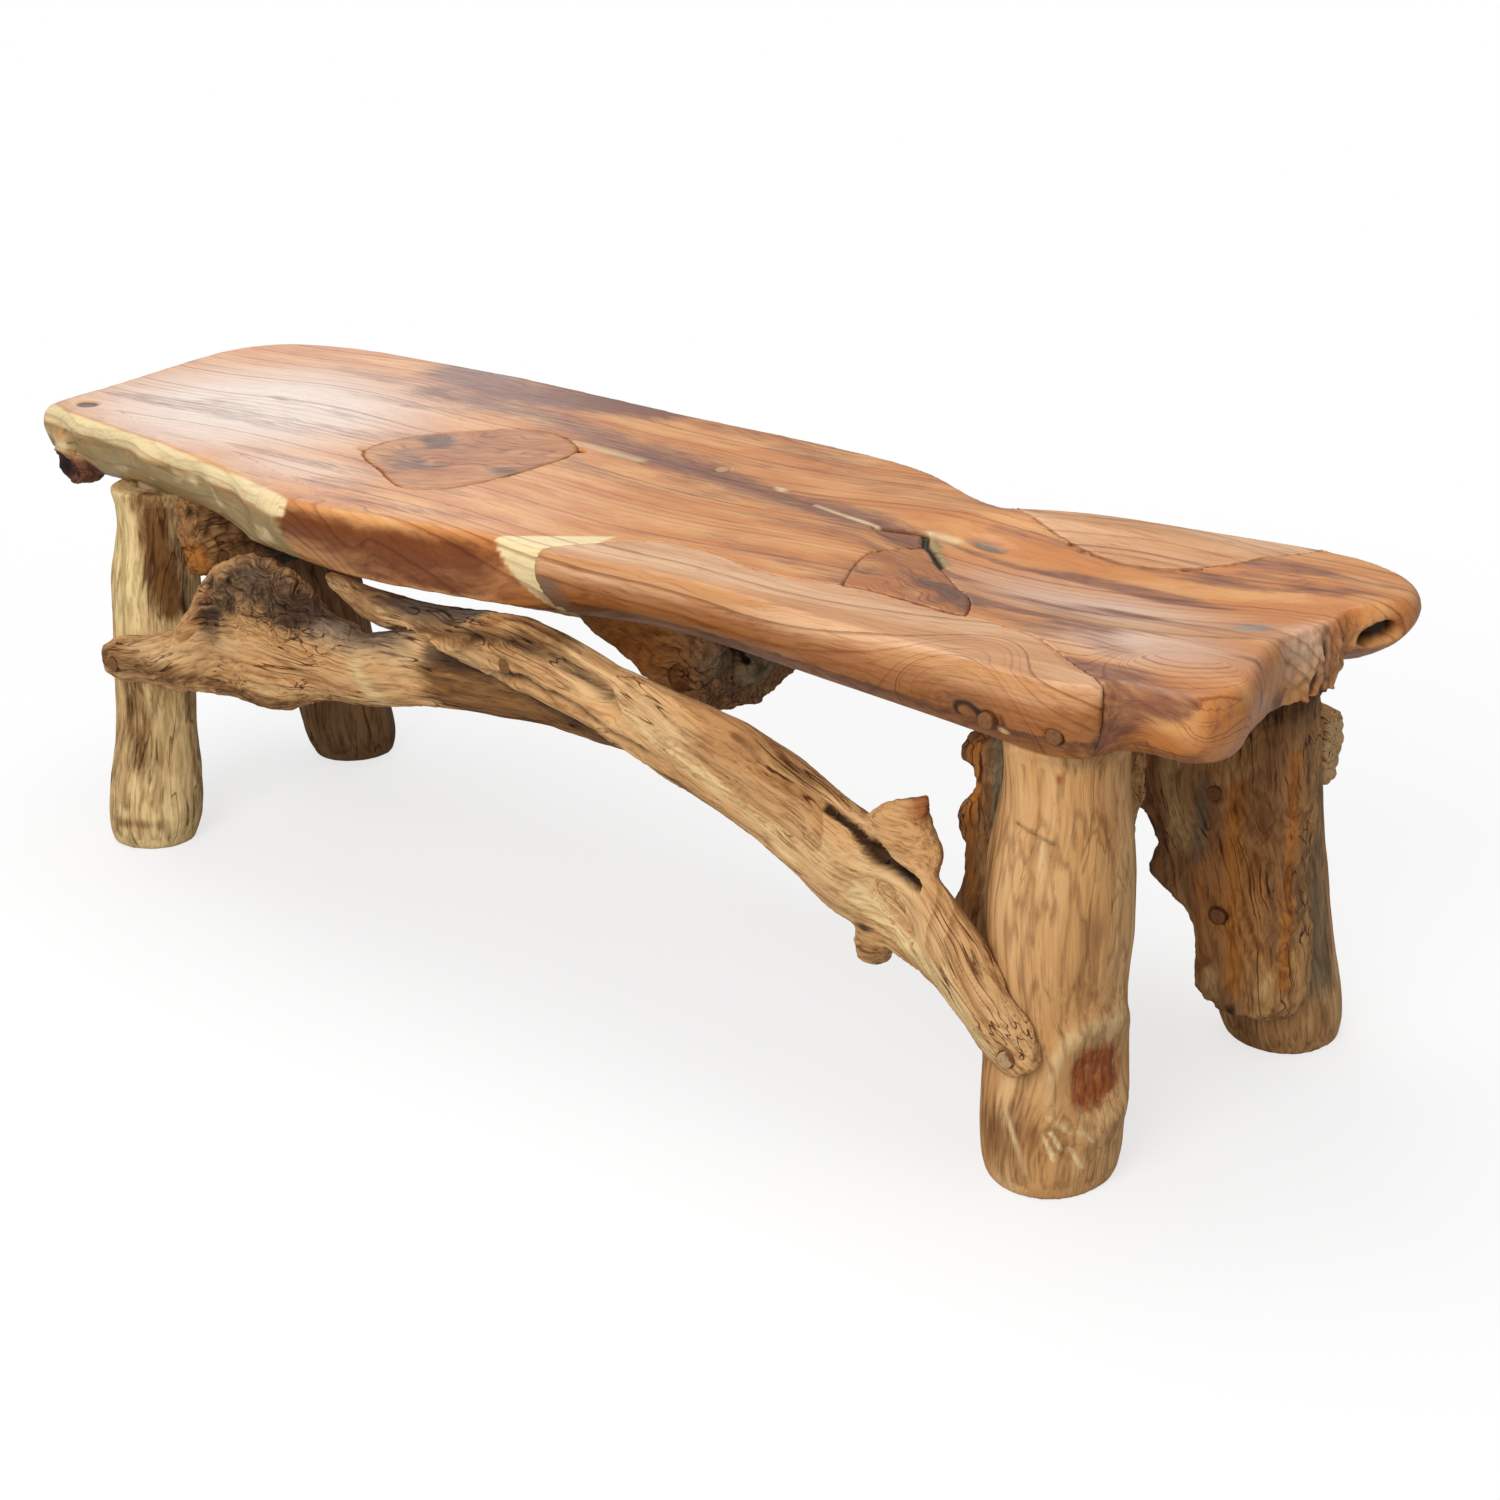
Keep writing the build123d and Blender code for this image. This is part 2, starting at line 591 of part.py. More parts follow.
def saw_line_y(line, x):
    """Y of a saw line at an X, straight between its points."""
    for start, end in zip(line, line[1:]):
        if start[0] <= x <= end[0]:
            return between(start[1], end[1], (x - start[0]) / (end[0] - start[0]))
    raise ValueError(f"no saw line at {x}")


board_to_slab = []
board_screw_reach = LEG_DOWEL_RADIUS + GLUE_LINE + BOARD_SCREW_SPACE + SCREW_RADIUS
for side, share in BOARD_SCREW_SIDES:
    x = leg_centre(FRONT_RIGHT, UNDERSIDE).X + side * board_screw_reach
    face = Vector(x, share * HALF_DEPTH, BOARD_SCREW_HEIGHT)
    length = saw_line_y(FRONT_BOARD_LINE, x) - face.Y - SCREW_SEAT + BOARD_SCREW_BITE
    board_to_slab.append(screw_at(face, FRONT, length))


def edge_dowel_places():
    """Where the dowels between slab and edge boards lie, along Y."""
    places = []
    lines = ((FRONT_BOARD_LINE, FRONT_DOWEL_SHARES), (REAR_BOARD_LINE, REAR_DOWEL_SHARES))
    for line, shares in lines:
        for share in shares:
            x = share * HALF_LENGTH
            point = Vector(x, saw_line_y(line, x), EDGE_DOWEL_HEIGHT)
            places.append(Location(Plane(origin=point, z_dir=FRONT)))
    return places


SEAT_SCREWS = [slab_to_block, *board_to_slab]


def leg_dowel_places():
    """Where the loose dowels between legs and seat stand, half in each."""
    return [Location(leg_centre(leg, UNDERSIDE)) for leg in LEGS.values()]


def dowel_sockets():
    """Every dowel hole, a glue line larger than its dowel."""
    with BuildPart() as sockets:
        with Locations(*leg_dowel_places()):
            Cylinder(LEG_DOWEL_RADIUS + GLUE_LINE, LEG_DOWEL_LENGTH + 2 * GLUE_LINE)
        with Locations(*edge_dowel_places()):
            Cylinder(EDGE_DOWEL_RADIUS + GLUE_LINE, EDGE_DOWEL_LENGTH + 2 * GLUE_LINE)
    return sockets.part


def screw_holes(screws):
    """The plug's counterbore and the clearance hole of each screw, in the outer piece."""
    with BuildPart() as holes:
        for screw in screws:
            with Locations(screw.place * Location((0, 0, -SCREW_SEAT))):
                Cylinder(PLUG_RADIUS, 2 * SCREW_SEAT, align=BASE_CENTRE)
            with Locations(screw.place):
                depth = SCREW_SEAT + screw.length + SCREW_CLEARANCE
                Cylinder(SCREW_RADIUS + SCREW_CLEARANCE, depth, align=TOP_CENTRE)
    return holes.part


def pilot_holes(screws):
    """The close hole that each screw bites into, in the inner piece."""
    with BuildPart() as holes:
        for screw in screws:
            with Locations(screw.place):
                depth = SCREW_SEAT + screw.length + PILOT_CLEARANCE
                Cylinder(SCREW_RADIUS + PILOT_CLEARANCE, depth, align=TOP_CENTRE)
    return holes.part


def screw_solids(screws):
    """Flat-headed steel screws, each under its plug."""
    with BuildPart() as group:
        for screw in screws:
            with Locations(screw.place * Location((0, 0, -SCREW_SEAT))):
                Cylinder(SCREW_HEAD_RADIUS, SCREW_HEAD_HEIGHT, align=BASE_CENTRE)
                shank = screw.length - SCREW_TIP
                Cylinder(SCREW_RADIUS, shank, align=TOP_CENTRE)
            with Locations(screw.place * Location((0, 0, -SCREW_SEAT - shank))):
                Cone(0, SCREW_RADIUS, SCREW_TIP, align=TOP_CENTRE)
    return group.part


def plug_solids(screws):
    """The wooden plugs that hide the screws."""
    with BuildPart() as group:
        for screw in screws:
            with Locations(screw.place):
                Cylinder(PLUG_RADIUS - GLUE_LINE, PLUG_THICKNESS - GLUE_LINE, align=TOP_CENTRE)
    return group.part


# ------------------------------------------------------------------ pieces
os.makedirs("parts", exist_ok=True)


def keep(builder, name):
    """Label a finished piece and write it out."""
    builder.part.label = name
    export_step(builder.part, f"parts/{name}.step")


TIP_BURL_PLACE = (-0.885, -0.545)  # shares of half the length and depth
TIP_BURL_RINGS = ((-13, 12), (-6, 21), (15, 28), (40, 28))  # height off the underside, radius
TIP_HOLLOW_RADIUS = 20.0
TIP_HOLLOW_SHIFT = (-8, -26, 5)  # from the burl's foot
END_HOLLOWS = ((1.006, 0.310, 33, 23), (0.985, 0.300, 30, 18))  # shares, height, radius


def tip_burl():
    """The root burl that hangs under the left front tip of the seat."""
    sections = []
    for rise, radius in TIP_BURL_RINGS:
        centre = seat_point(TIP_BURL_PLACE, UNDERSIDE + rise)
        sections.append(closed_face(Plane(origin=centre), log_outline(radius, radius, 60)))
    foot = seat_point(TIP_BURL_PLACE, UNDERSIDE)
    with BuildPart() as burl:
        loft(sections)
        with Locations(foot + Vector(*TIP_HOLLOW_SHIFT)):
            Sphere(TIP_HOLLOW_RADIUS, mode=Mode.SUBTRACT)
    return burl.part


with BuildPart() as seat_slab:
    add(seat_blank())
    add(tip_burl())
    for u, v, rise, radius in END_HOLLOWS:
        with Locations(seat_point((u, v), UNDERSIDE + rise)):
            Sphere(radius, mode=Mode.SUBTRACT)
    add(front_board_zone(), mode=Mode.SUBTRACT)
    add(rear_board_zone(), mode=Mode.SUBTRACT)
    add(inlay_zone(INLAY_OUTLINE), mode=Mode.SUBTRACT)
    add(inlay_zone(ROUND_PATCH_OUTLINE), mode=Mode.SUBTRACT)
    add(dowel_sockets(), mode=Mode.SUBTRACT)
    add(screw_holes([slab_to_block]), mode=Mode.SUBTRACT)
    add(pilot_holes(board_to_slab), mode=Mode.SUBTRACT)
keep(seat_slab, "seat_slab")

with BuildPart() as front_edge_board:
    add(seat_blank(BOARD_PROUD))
    add(front_board_zone(GLUE_LINE), mode=Mode.INTERSECT)
    add(dowel_sockets(), mode=Mode.SUBTRACT)
    add(screw_holes(board_to_slab), mode=Mode.SUBTRACT)
keep(front_edge_board, "front_edge_board")

with BuildPart() as rear_edge_board:
    add(seat_blank())
    add(rear_board_zone(GLUE_LINE), mode=Mode.INTERSECT)
    add(dowel_sockets(), mode=Mode.SUBTRACT)
keep(rear_edge_board, "rear_edge_board")

with BuildPart() as seat_inlay:
    add(seat_blank())
    add(inlay_zone(INLAY_OUTLINE, GLUE_LINE), mode=Mode.INTERSECT)
keep(seat_inlay, "seat_inlay")

with BuildPart() as seat_round_patch:
    add(seat_blank())
    add(inlay_zone(ROUND_PATCH_OUTLINE, GLUE_LINE), mode=Mode.INTERSECT)
    add(front_board_zone(), mode=Mode.SUBTRACT)
keep(seat_round_patch, "seat_round_patch")

for name, leg in LEGS.items():
    with BuildPart() as log:
        add(leg_solid(leg))
        add(dowel_sockets(), mode=Mode.SUBTRACT)
        add(pilot_holes(FRAME_SCREWS), mode=Mode.SUBTRACT)
    keep(log, name)

with BuildPart() as front_left_stretcher:
    add(stretcher_log())
    add(stretcher_burl())
    tail = lapped_path(FRONT_LEFT, FRONT_RIGHT, -1, STRETCHER_HALF_DEPTH, TAIL_STATIONS)
    add(branch_solid(tail, 0))
    add(leg_solid(FRONT_LEFT, SCRIBE_GAP), mode=Mode.SUBTRACT)
    add(screw_holes([stretcher_to_leg]), mode=Mode.SUBTRACT)
    add(pilot_holes([brace_to_stretcher]), mode=Mode.SUBTRACT)
keep(front_left_stretcher, "front_left_stretcher")

# Knobs of the brace, from its core outwards: share and height share as for branches,
# half width, share of the brace's depth.
SPIKE_STATIONS = (
    (0.893, 0.640, 36, 0.80), (0.900, 0.720, 39, 0.80), (0.904, 0.768, 32, 0.75),
    (0.909, 0.803, 19, 0.60), (0.915, 0.829, 9, 0.35), (0.920, 0.850, 3, 0.14),
)
STUB_STATIONS = ((0.886, 0.560, 22, 0.8), (0.879, 0.490, 19, 0.75), (0.876, 0.440, 13, 0.55))
HOLLOW_STATION = 11
HOLLOW_LENGTH = 62.0
HOLLOW_WIDTH = 17.0
HOLLOW_DEPTH = 20.0
HOLLOW_SLOPE = -48.0


def brace_knob(stations):
    """A short tapered knob of the brace, from its core outwards."""
    path = []
    for share, rise, half_width, depth_share in stations:
        x, face_y = face_line(FRONT_LEFT, FRONT_RIGHT, -1, share, rise * UNDERSIDE)
        point = Vector(x, face_y - BRACE_HALF_DEPTH + LAP_DEPTH, rise * UNDERSIDE)
        path.append((point, BRACE_HALF_DEPTH * depth_share, half_width))
    return branch_solid(path, 0)


with BuildPart() as front_arch_brace:
    hollow_point, hollow_half_depth = brace_line[HOLLOW_STATION][:2]
    hollow_face = hollow_point + Vector(0, -hollow_half_depth, 0)
    add(branch_solid(brace_line, 60))
    add(brace_knob(SPIKE_STATIONS))
    add(brace_knob(STUB_STATIONS))
    split(bisect_by=Plane.XY.offset(UNDERSIDE - SCRIBE_GAP), keep=Keep.BOTTOM)
    with BuildSketch(Plane(origin=hollow_face, x_dir=(1, 0, 0), z_dir=FRONT)):
        Ellipse(HOLLOW_LENGTH / 2, HOLLOW_WIDTH / 2, rotation=HOLLOW_SLOPE)
    extrude(amount=HOLLOW_DEPTH, both=True, mode=Mode.SUBTRACT)
    add(leg_solid(FRONT_RIGHT, SCRIBE_GAP), mode=Mode.SUBTRACT)
    add(stretcher_log(SCRIBE_GAP), mode=Mode.SUBTRACT)
    add(stretcher_burl(SCRIBE_GAP), mode=Mode.SUBTRACT)
    add(screw_holes([brace_to_leg, brace_to_stretcher]), mode=Mode.SUBTRACT)
keep(front_arch_brace, "front_arch_brace")

with BuildPart() as left_end_root:
    end_plane = Plane(origin=(end_face_x(), 0, 0), x_dir=(0, 1, 0), z_dir=(1, 0, 0))
    end_points = end_elevation(END_ROOT_OUTLINE)
    add(eased_slab(end_plane, end_points, END_ROOT_THICKNESS, END_ROOT_EASING))
    split(bisect_by=Plane.XY.offset(UNDERSIDE - SCRIBE_GAP), keep=Keep.BOTTOM)
    add(rail_log())
    add(leg_solid(FRONT_LEFT, SCRIBE_GAP), mode=Mode.SUBTRACT)
    add(leg_solid(REAR_LEFT, SCRIBE_GAP), mode=Mode.SUBTRACT)
    add(screw_holes(end_root_to_legs), mode=Mode.SUBTRACT)
keep(left_end_root, "left_end_root")

with BuildPart() as centre_root_block:
    block_points = front_elevation(BLOCK_OUTLINE, FRONT_LEFT, FRONT_RIGHT)
    block_front = BLOCK_FRONT_SHARE * HALF_DEPTH
    add(upright_root(block_points, block_front, BLOCK_DEPTH, BLOCK_EASING))
    for share, back, rise, radius in BLOCK_HOLLOWS:
        x, height = front_elevation([(share, rise)], FRONT_LEFT, FRONT_RIGHT)[0]
        with Locations((x, block_front + back * BLOCK_DEPTH, height)):
            Sphere(radius, mode=Mode.SUBTRACT)
    add(pilot_holes([slab_to_block]), mode=Mode.SUBTRACT)
keep(centre_root_block, "centre_root_block")

with BuildPart() as rear_stretcher:
    add(branch_solid(rear_line, 10))
    add(leg_solid(REAR_LEFT, SCRIBE_GAP), mode=Mode.SUBTRACT)
    add(leg_solid(REAR_RIGHT, SCRIBE_GAP), mode=Mode.SUBTRACT)
    add(screw_holes([rear_to_left_leg, rear_to_right_leg]), mode=Mode.SUBTRACT)
keep(rear_stretcher, "rear_stretcher")

with BuildPart() as front_right_root_bracket:
    bracket_points = beside_leg(FRONT_RIGHT, BRACKET_OUTLINE)
    add(upright_root(bracket_points, bracket_front_y(), BRACKET_THICKNESS, BRACKET_EASING))
    add(leg_solid(FRONT_RIGHT, SCRIBE_GAP), mode=Mode.SUBTRACT)
    add(screw_holes([bracket_to_leg]), mode=Mode.SUBTRACT)
keep(front_right_root_bracket, "front_right_root_bracket")

with BuildPart() as rear_right_root_panel:
    panel_points = beside_leg(REAR_RIGHT, PANEL_OUTLINE)
    add(upright_root(panel_points, panel_front_y(), PANEL_THICKNESS, PANEL_EASING))
    add(leg_solid(REAR_RIGHT, SCRIBE_GAP), mode=Mode.SUBTRACT)
    add(screw_holes(panel_to_leg), mode=Mode.SUBTRACT)
keep(rear_right_root_panel, "rear_right_root_panel")

with BuildPart() as leg_dowels:
    with Locations(*leg_dowel_places()):
        Cylinder(LEG_DOWEL_RADIUS, LEG_DOWEL_LENGTH)
keep(leg_dowels, "leg_dowels")

with BuildPart() as edge_board_dowels:
    with Locations(*edge_dowel_places()):
        Cylinder(EDGE_DOWEL_RADIUS, EDGE_DOWEL_LENGTH)
keep(edge_board_dowels, "edge_board_dowels")

with BuildPart() as frame_screws:
    add(screw_solids(FRAME_SCREWS))
keep(frame_screws, "frame_screws")

with BuildPart() as seat_screws:
    add(screw_solids(SEAT_SCREWS))
keep(seat_screws, "seat_screws")

with BuildPart() as frame_plugs:
    add(plug_solids(FRAME_SCREWS))
keep(frame_plugs, "frame_plugs")

with BuildPart() as seat_plugs:
    add(plug_solids(SEAT_SCREWS))
keep(seat_plugs, "seat_plugs")
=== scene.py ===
"""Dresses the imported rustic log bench: weathered teak slab, logs, branches and roots.

X runs along the bench, Y to the back and Z up from the ground under its middle. Lengths
are in metres. Only the wood's tables of places, and what spot, stroke and ripple take, are
in millimetres.
"""

import math
from collections import namedtuple
from functools import partial

import bmesh
import bpy
import numpy as np
from bpy.props import FloatProperty, FloatVectorProperty, IntProperty, PointerProperty
from mathutils import Matrix, Vector, noise
from mathutils.bvhtree import BVHTree


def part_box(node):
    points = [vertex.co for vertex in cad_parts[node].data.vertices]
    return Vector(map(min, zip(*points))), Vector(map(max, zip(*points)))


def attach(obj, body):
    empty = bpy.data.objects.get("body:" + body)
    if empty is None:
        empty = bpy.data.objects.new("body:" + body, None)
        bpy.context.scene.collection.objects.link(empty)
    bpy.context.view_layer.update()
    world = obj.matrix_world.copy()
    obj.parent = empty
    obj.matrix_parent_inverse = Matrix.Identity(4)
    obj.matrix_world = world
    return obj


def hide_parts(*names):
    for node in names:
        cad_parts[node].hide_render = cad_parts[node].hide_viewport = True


bl_info = {
    "name": "Rustic Log Bench",
    "version": (1, 0, 0),
    "blender": (4, 5, 0),
    "location": "View3D > Sidebar > Bench",
    "description": "Builds the wood, plugs and studio of a rustic teak log bench",
    "category": "Object",
}

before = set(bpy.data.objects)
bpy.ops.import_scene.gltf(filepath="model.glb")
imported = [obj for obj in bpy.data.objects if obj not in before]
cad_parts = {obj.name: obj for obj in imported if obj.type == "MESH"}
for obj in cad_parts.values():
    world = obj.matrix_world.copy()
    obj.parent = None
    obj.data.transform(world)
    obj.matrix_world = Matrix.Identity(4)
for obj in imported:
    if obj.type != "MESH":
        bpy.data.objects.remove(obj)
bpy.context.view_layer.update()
MM = 0.001
TOP = 0.450
UNDERSIDE = 0.385
NEAR_TOP = 0.42  # what lies higher belongs to the top of the seat


# ------------------------------------------------------------------ sizes and colours
def linear(hex_colour):
    """Linear RGBA of an sRGB hex colour such as #B5713C."""
    channels = [int(hex_colour[k : k + 2], 16) / 255 for k in (1, 3, 5)]
    values = [c / 12.92 if c <= 0.04045 else ((c + 0.055) / 1.055) ** 2.4 for c in channels]
    return (*values, 1.0)


def colour_prop(name, description, hex_colour):
    return FloatVectorProperty(
        name=name, description=description, subtype="COLOR", size=4,
        min=0.0, max=1.0, default=linear(hex_colour),
    )


def length_prop(name, description, millimetres, least=0.0):
    return FloatProperty(
        name=name, description=description, unit="LENGTH",
        default=millimetres * MM, min=least * MM,
    )


class BenchWoodSettings(bpy.types.PropertyGroup):
    """Sizes and colours of the wood."""

    slab_voxel: length_prop("Slab detail", "Smallest form worked into the seat", 5.0, 2.0)
    branch_voxel: length_prop("Branch detail", "Smallest form in logs and roots", 2.9, 2.0)
    log_groove: length_prop("Log relief", "Depth of the ripples left on a peeled log", 1.3)
    branch_groove: length_prop("Branch relief", "Depth of the furrows in a branch", 3.4)
    root_groove: length_prop("Root relief", "Depth of the folds in the root wood", 6.0)
    groove_spacing: length_prop("Furrow spacing", "From furrow to furrow across", 14, 2.0)
    seed: IntProperty(name="Seed", description="Picks another growth pattern", default=7)
    seat_colour: colour_prop("Seat", "Oiled heartwood of the slab", "#C88043")
    inlay_colour: colour_prop("Inlays", "Patches let into the seat", "#AE6A34")
    board_colour: colour_prop("Edge boards", "Boards along the seat's edges", "#C68E5C")
    log_colour: colour_prop("Pale log", "Peeled sapwood of the front left leg", "#DBB981")
    branch_colour: colour_prop("Branches", "Weathered stretchers and brace", "#CF9F69")
    root_colour: colour_prop("Roots", "Root wood under the seat", "#9C7048")


class BenchStageSettings(bpy.types.PropertyGroup):
    """Floor, light and camera."""

    floor: colour_prop("Floor", "Plain pale floor", "#FDFDFD")
    lens: FloatProperty(
        name="Lens", description="Focal length of the camera in millimetres",
        default=62.28, min=10.0,
    )
    key_power: FloatProperty(
        name="Lamps", description="Power of the overhead light; the others follow it",
        default=34.0, min=0.0, unit="POWER",
    )
    room_light: FloatProperty(
        name="Room light", description="Strength of the even light from all round",
        default=0.46, min=0.0,
    )
    paper_glow: FloatProperty(
        name="Paper brightness", description="How far the floor near the bench is lifted to white",
        default=0.70, min=0.0, max=1.0,
    )


# ------------------------------------------------------------------ meshes from the frame
def merged(nodes):
    """CAD nodes as one bmesh, with their loose triangles joined."""
    shape = bmesh.new()
    for node in nodes:
        shape.from_mesh(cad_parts[node].data)
    bmesh.ops.remove_doubles(shape, verts=shape.verts, dist=1e-6)
    return shape


def link(name, data):
    """A new object at the origin of the scene."""
    obj = bpy.data.objects.new(name, data)
    bpy.context.scene.collection.objects.link(obj)
    return obj


def as_object(shape, name):
    """A new object from a bmesh, which is used up."""
    mesh = bpy.data.meshes.new(name)
    shape.to_mesh(mesh)
    shape.free()
    return link(name, mesh)


def settled(obj):
    """Replace an object's mesh by what its modifiers make of it, and drop them."""
    bpy.context.view_layer.update()
    seen = obj.evaluated_get(bpy.context.evaluated_depsgraph_get())
    mesh, old = bpy.data.meshes.new_from_object(seen), obj.data
    obj.modifiers.clear()
    obj.data = mesh
    bpy.data.meshes.remove(old)
    return obj


def laid_on(block, nodes):
    """Settle a block with every point on the surface of its CAD nodes."""
    target = as_object(merged(nodes), block.name + "_target")
    wrap = block.modifiers.new("Wrap", "SHRINKWRAP")
    wrap.target = target
    wrap.wrap_method = "NEAREST_SURFACEPOINT"
    settled(block)
    bpy.data.objects.remove(target)
    return block


def worked_block(name, nodes, voxel):
    """The nodes' shape as even faces of one size, lying on the CAD surface."""
    block = as_object(merged(nodes), name)
    remesh = block.modifiers.new("Remesh", "REMESH")
    remesh.mode = "VOXEL"
    remesh.voxel_size = voxel
    remesh.adaptivity = 0.0
    return laid_on(block, nodes)


def points_of(obj, field="co"):
    """Place of every vertex, or its normal, as rows."""
    flat = np.empty(len(obj.data.vertices) * 3, np.float32)
    obj.data.vertices.foreach_get(field, flat)
    return flat.reshape(-1, 3).astype(float)


def set_points(obj, points):
    obj.data.vertices.foreach_set("co", points.astype(np.float32).ravel())
    obj.data.update()


def store(obj, name, values):
    """Keep one number, or one vector, per vertex for relief and materials to read."""
    values = np.asarray(values, np.float32)
    kind, field = ("FLOAT_VECTOR", "vector") if values.ndim == 2 else ("FLOAT", "value")
    layer = obj.data.attributes.get(name) or obj.data.attributes.new(name, kind, "POINT")
    layer.data.foreach_set(field, values.ravel())


def smooth(points, obj, rounds, amount=0.5, share=None):
    """Relax points, or only the marked share of them, towards their neighbours."""
    pairs = np.empty(len(obj.data.edges) * 2, np.int32)
    obj.data.edges.foreach_get("vertices", pairs)
    pairs = pairs.reshape(-1, 2)
    if share is not None:
        pairs = pairs[(share[pairs] > 0).any(1)]
        amount = amount * share[:, None]
    count = np.bincount(pairs.ravel(), minlength=len(points))[:, None].clip(1)
    for _ in range(rounds):
        total = np.zeros_like(points)
        np.add.at(total, pairs[:, 0], points[pairs[:, 1]])
        np.add.at(total, pairs[:, 1], points[pairs[:, 0]])
        points = points + amount * (total / count - points)
    return points


def refine(obj, share):
    """Split every edge into three where both its ends are marked, for finer forms."""
    shape = bmesh.new()
    shape.from_mesh(obj.data)
    marked = set(np.nonzero(share > 0)[0])
    edges = [e for e in shape.edges if marked.issuperset(v.index for v in e.verts)]
    bmesh.ops.subdivide_edges(shape, edges=edges, cuts=2, use_grid_fill=True)
    shape.to_mesh(obj.data)
    shape.free()
    obj.data.update()


# ------------------------------------------------------------------ fields over the wood
def unit(values):
    return np.clip(values, 0, 1)


def ramp(values, start, end):
    """0 up to the start, 1 from the end on, straight between."""
    return unit((values - start) / (end - start))


def fade(distance, reach):
    """1 at no distance, 0 from the reach on, smooth between."""
    t = unit(1 - distance / reach)
    return t * t * (3 - 2 * t)


def up_to(values, limit, edge):
    """1 up to a limit, fading out over the edge past it."""
    return fade(np.maximum(values - limit, 0), edge)


def down_to(values, limit, edge):
    """1 down to a limit, fading out over the edge below it."""
    return up_to(-values, -limit, edge)


def spot(points, centre, radii):
    """A soft oval patch: 1 at its centre, 0 outside its radii."""
    return fade(np.linalg.norm((points / MM - centre) / radii, axis=1), 1.0)


def stroke(points, line, width):
    """A soft band along a line of places; a line without heights takes in every height."""
    line = np.array(line, float) * MM
    where = points[:, : line.shape[1]]
    nearest = np.full(len(points), np.inf)
    for start, end in zip(line, line[1:]):
        run = end - start
        share = unit((where - start) @ run / (run @ run))[:, None]
        nearest = np.minimum(nearest, np.linalg.norm(where - start - share * run, axis=1))
    return fade(nearest, width * MM)


def ripple(points, size, seed, octaves=3):
    """Layered noise between about -1 and 1 for forms of one size."""
    shift = Vector((seed * 3.7, seed * 1.3, seed * 2.1))
    return np.array([
        noise.fractal(Vector(p) / (size * MM) + shift, 0.9, 2.0, octaves) for p in points
    ])


def lay(masks, name, *shares):
    """Raise a mask wherever one of these shares is stronger."""
    masks[name] = np.maximum.reduce([masks.get(name, np.zeros(len(shares[0]))), *shares])


def stained(points, stains):
    """Masks from each mask's rows of places on a line or one place, reach and strength."""
    masks = {}
    for name, rows in stains.items():
        for places, reach, strength in rows:
            band = stroke if np.ndim(places) == 2 else spot
            lay(masks, name, strength * band(points, places, reach))
    return masks


SLICE = 0.02  # length of the slices in which a log's middle is looked for


def centre_line(points, axis):
    """Middle of a log or branch in slices along one axis."""
    low, high = points[:, axis].min(), points[:, axis].max()
    count = max(4, int((high - low) / SLICE))
    edges = np.linspace(low, high, count + 1)
    index = np.clip(np.digitize(points[:, axis], edges) - 1, 0, count - 1)
    slices = [points[index == k] for k in range(count) if (index == k).any()]
    middle = np.array([(part.min(0) + part.max(0)) / 2 for part in slices])
    for _ in range(3):
        middle[1:-1] = (middle[:-2] + 2 * middle[1:-1] + middle[2:]) / 4
    return middle


def along_growth(points, axis):
    """Grain places: distance along the wood, then across it both ways."""
    line = centre_line(points, axis)
    runs = np.linalg.norm(np.diff(line, axis=0), axis=1)
    reach = np.concatenate([[0], np.cumsum(runs)])
    order = np.argsort(line[:, axis])
    between = partial(np.interp, points[:, axis], line[order, axis])
    ahead = np.gradient(line, axis=0)
    ahead /= np.linalg.norm(ahead, axis=1)[:, None]
    middle = np.stack([between(line[order, k]) for k in range(3)], 1)
    way = np.stack([between(ahead[order, k]) for k in range(3)], 1)
    way /= np.linalg.norm(way, axis=1)[:, None]
    side = np.cross(way, (0, 0, 1) if axis != 2 else (0, 1, 0))
    side /= np.linalg.norm(side, axis=1)[:, None]
    offset = points - middle
    along = between(reach[order]) + (offset * way).sum(1)
    return np.stack([along, (offset * side).sum(1), (offset * np.cross(side, way)).sum(1)], 1)


def distance_to(points, reach, nodes):
    """How far points lie from other pieces, up to a reach."""
    away = np.full(len(points), reach)
    for node in nodes:
        shape = merged([node])
        tree = BVHTree.FromBMesh(shape)
        low, high = np.array(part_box(node))
        near = (points > low - reach).all(1) & (points < high + reach).all(1)
        for index in np.nonzero(near)[0]:
            hit = tree.find_nearest(Vector(points[index]), reach)
            if hit[3] is not None:
                away[index] = min(away[index], hit[3])
        shape.free()
    return away


# ------------------------------------------------------------------ node trees
MATHS, VECTOR_MATHS = "ShaderNodeMath", "ShaderNodeVectorMath"
NOISE, RANGE, MIX = "ShaderNodeTexNoise", "ShaderNodeMapRange", "ShaderNodeMix"
STORED = "GeometryNodeInputNamedAttribute"
TIMES, TIMES_PLUS = {"operation": "MULTIPLY"}, {"operation": "MULTIPLY_ADD"}
SOFT = {"interpolation_type": "SMOOTHSTEP"}
OF_COLOURS = {"data_type": "RGBA"}


def add_node(tree, kind, *values, **named):
    """Add a node. Values, sockets and nodes join its inputs in order; of the named ones,
    a capitalised one is an input too and one in small letters is the node's own option."""
    node = tree.nodes.new(kind)
    for name, value in named.items():
        if name.islower():
            setattr(node, name, value)
    joins = list(zip([socket for socket in node.inputs if socket.enabled], values))
    joins += [(node.inputs[name], named[name]) for name in named if not name.islower()]
    for socket, value in joins:
        if isinstance(value, bpy.types.Node):
            value = next(output for output in value.outputs if output.enabled)
        if isinstance(value, bpy.types.NodeSocket):
            tree.links.new(value, socket)
        else:
            socket.default_value = value
    return node


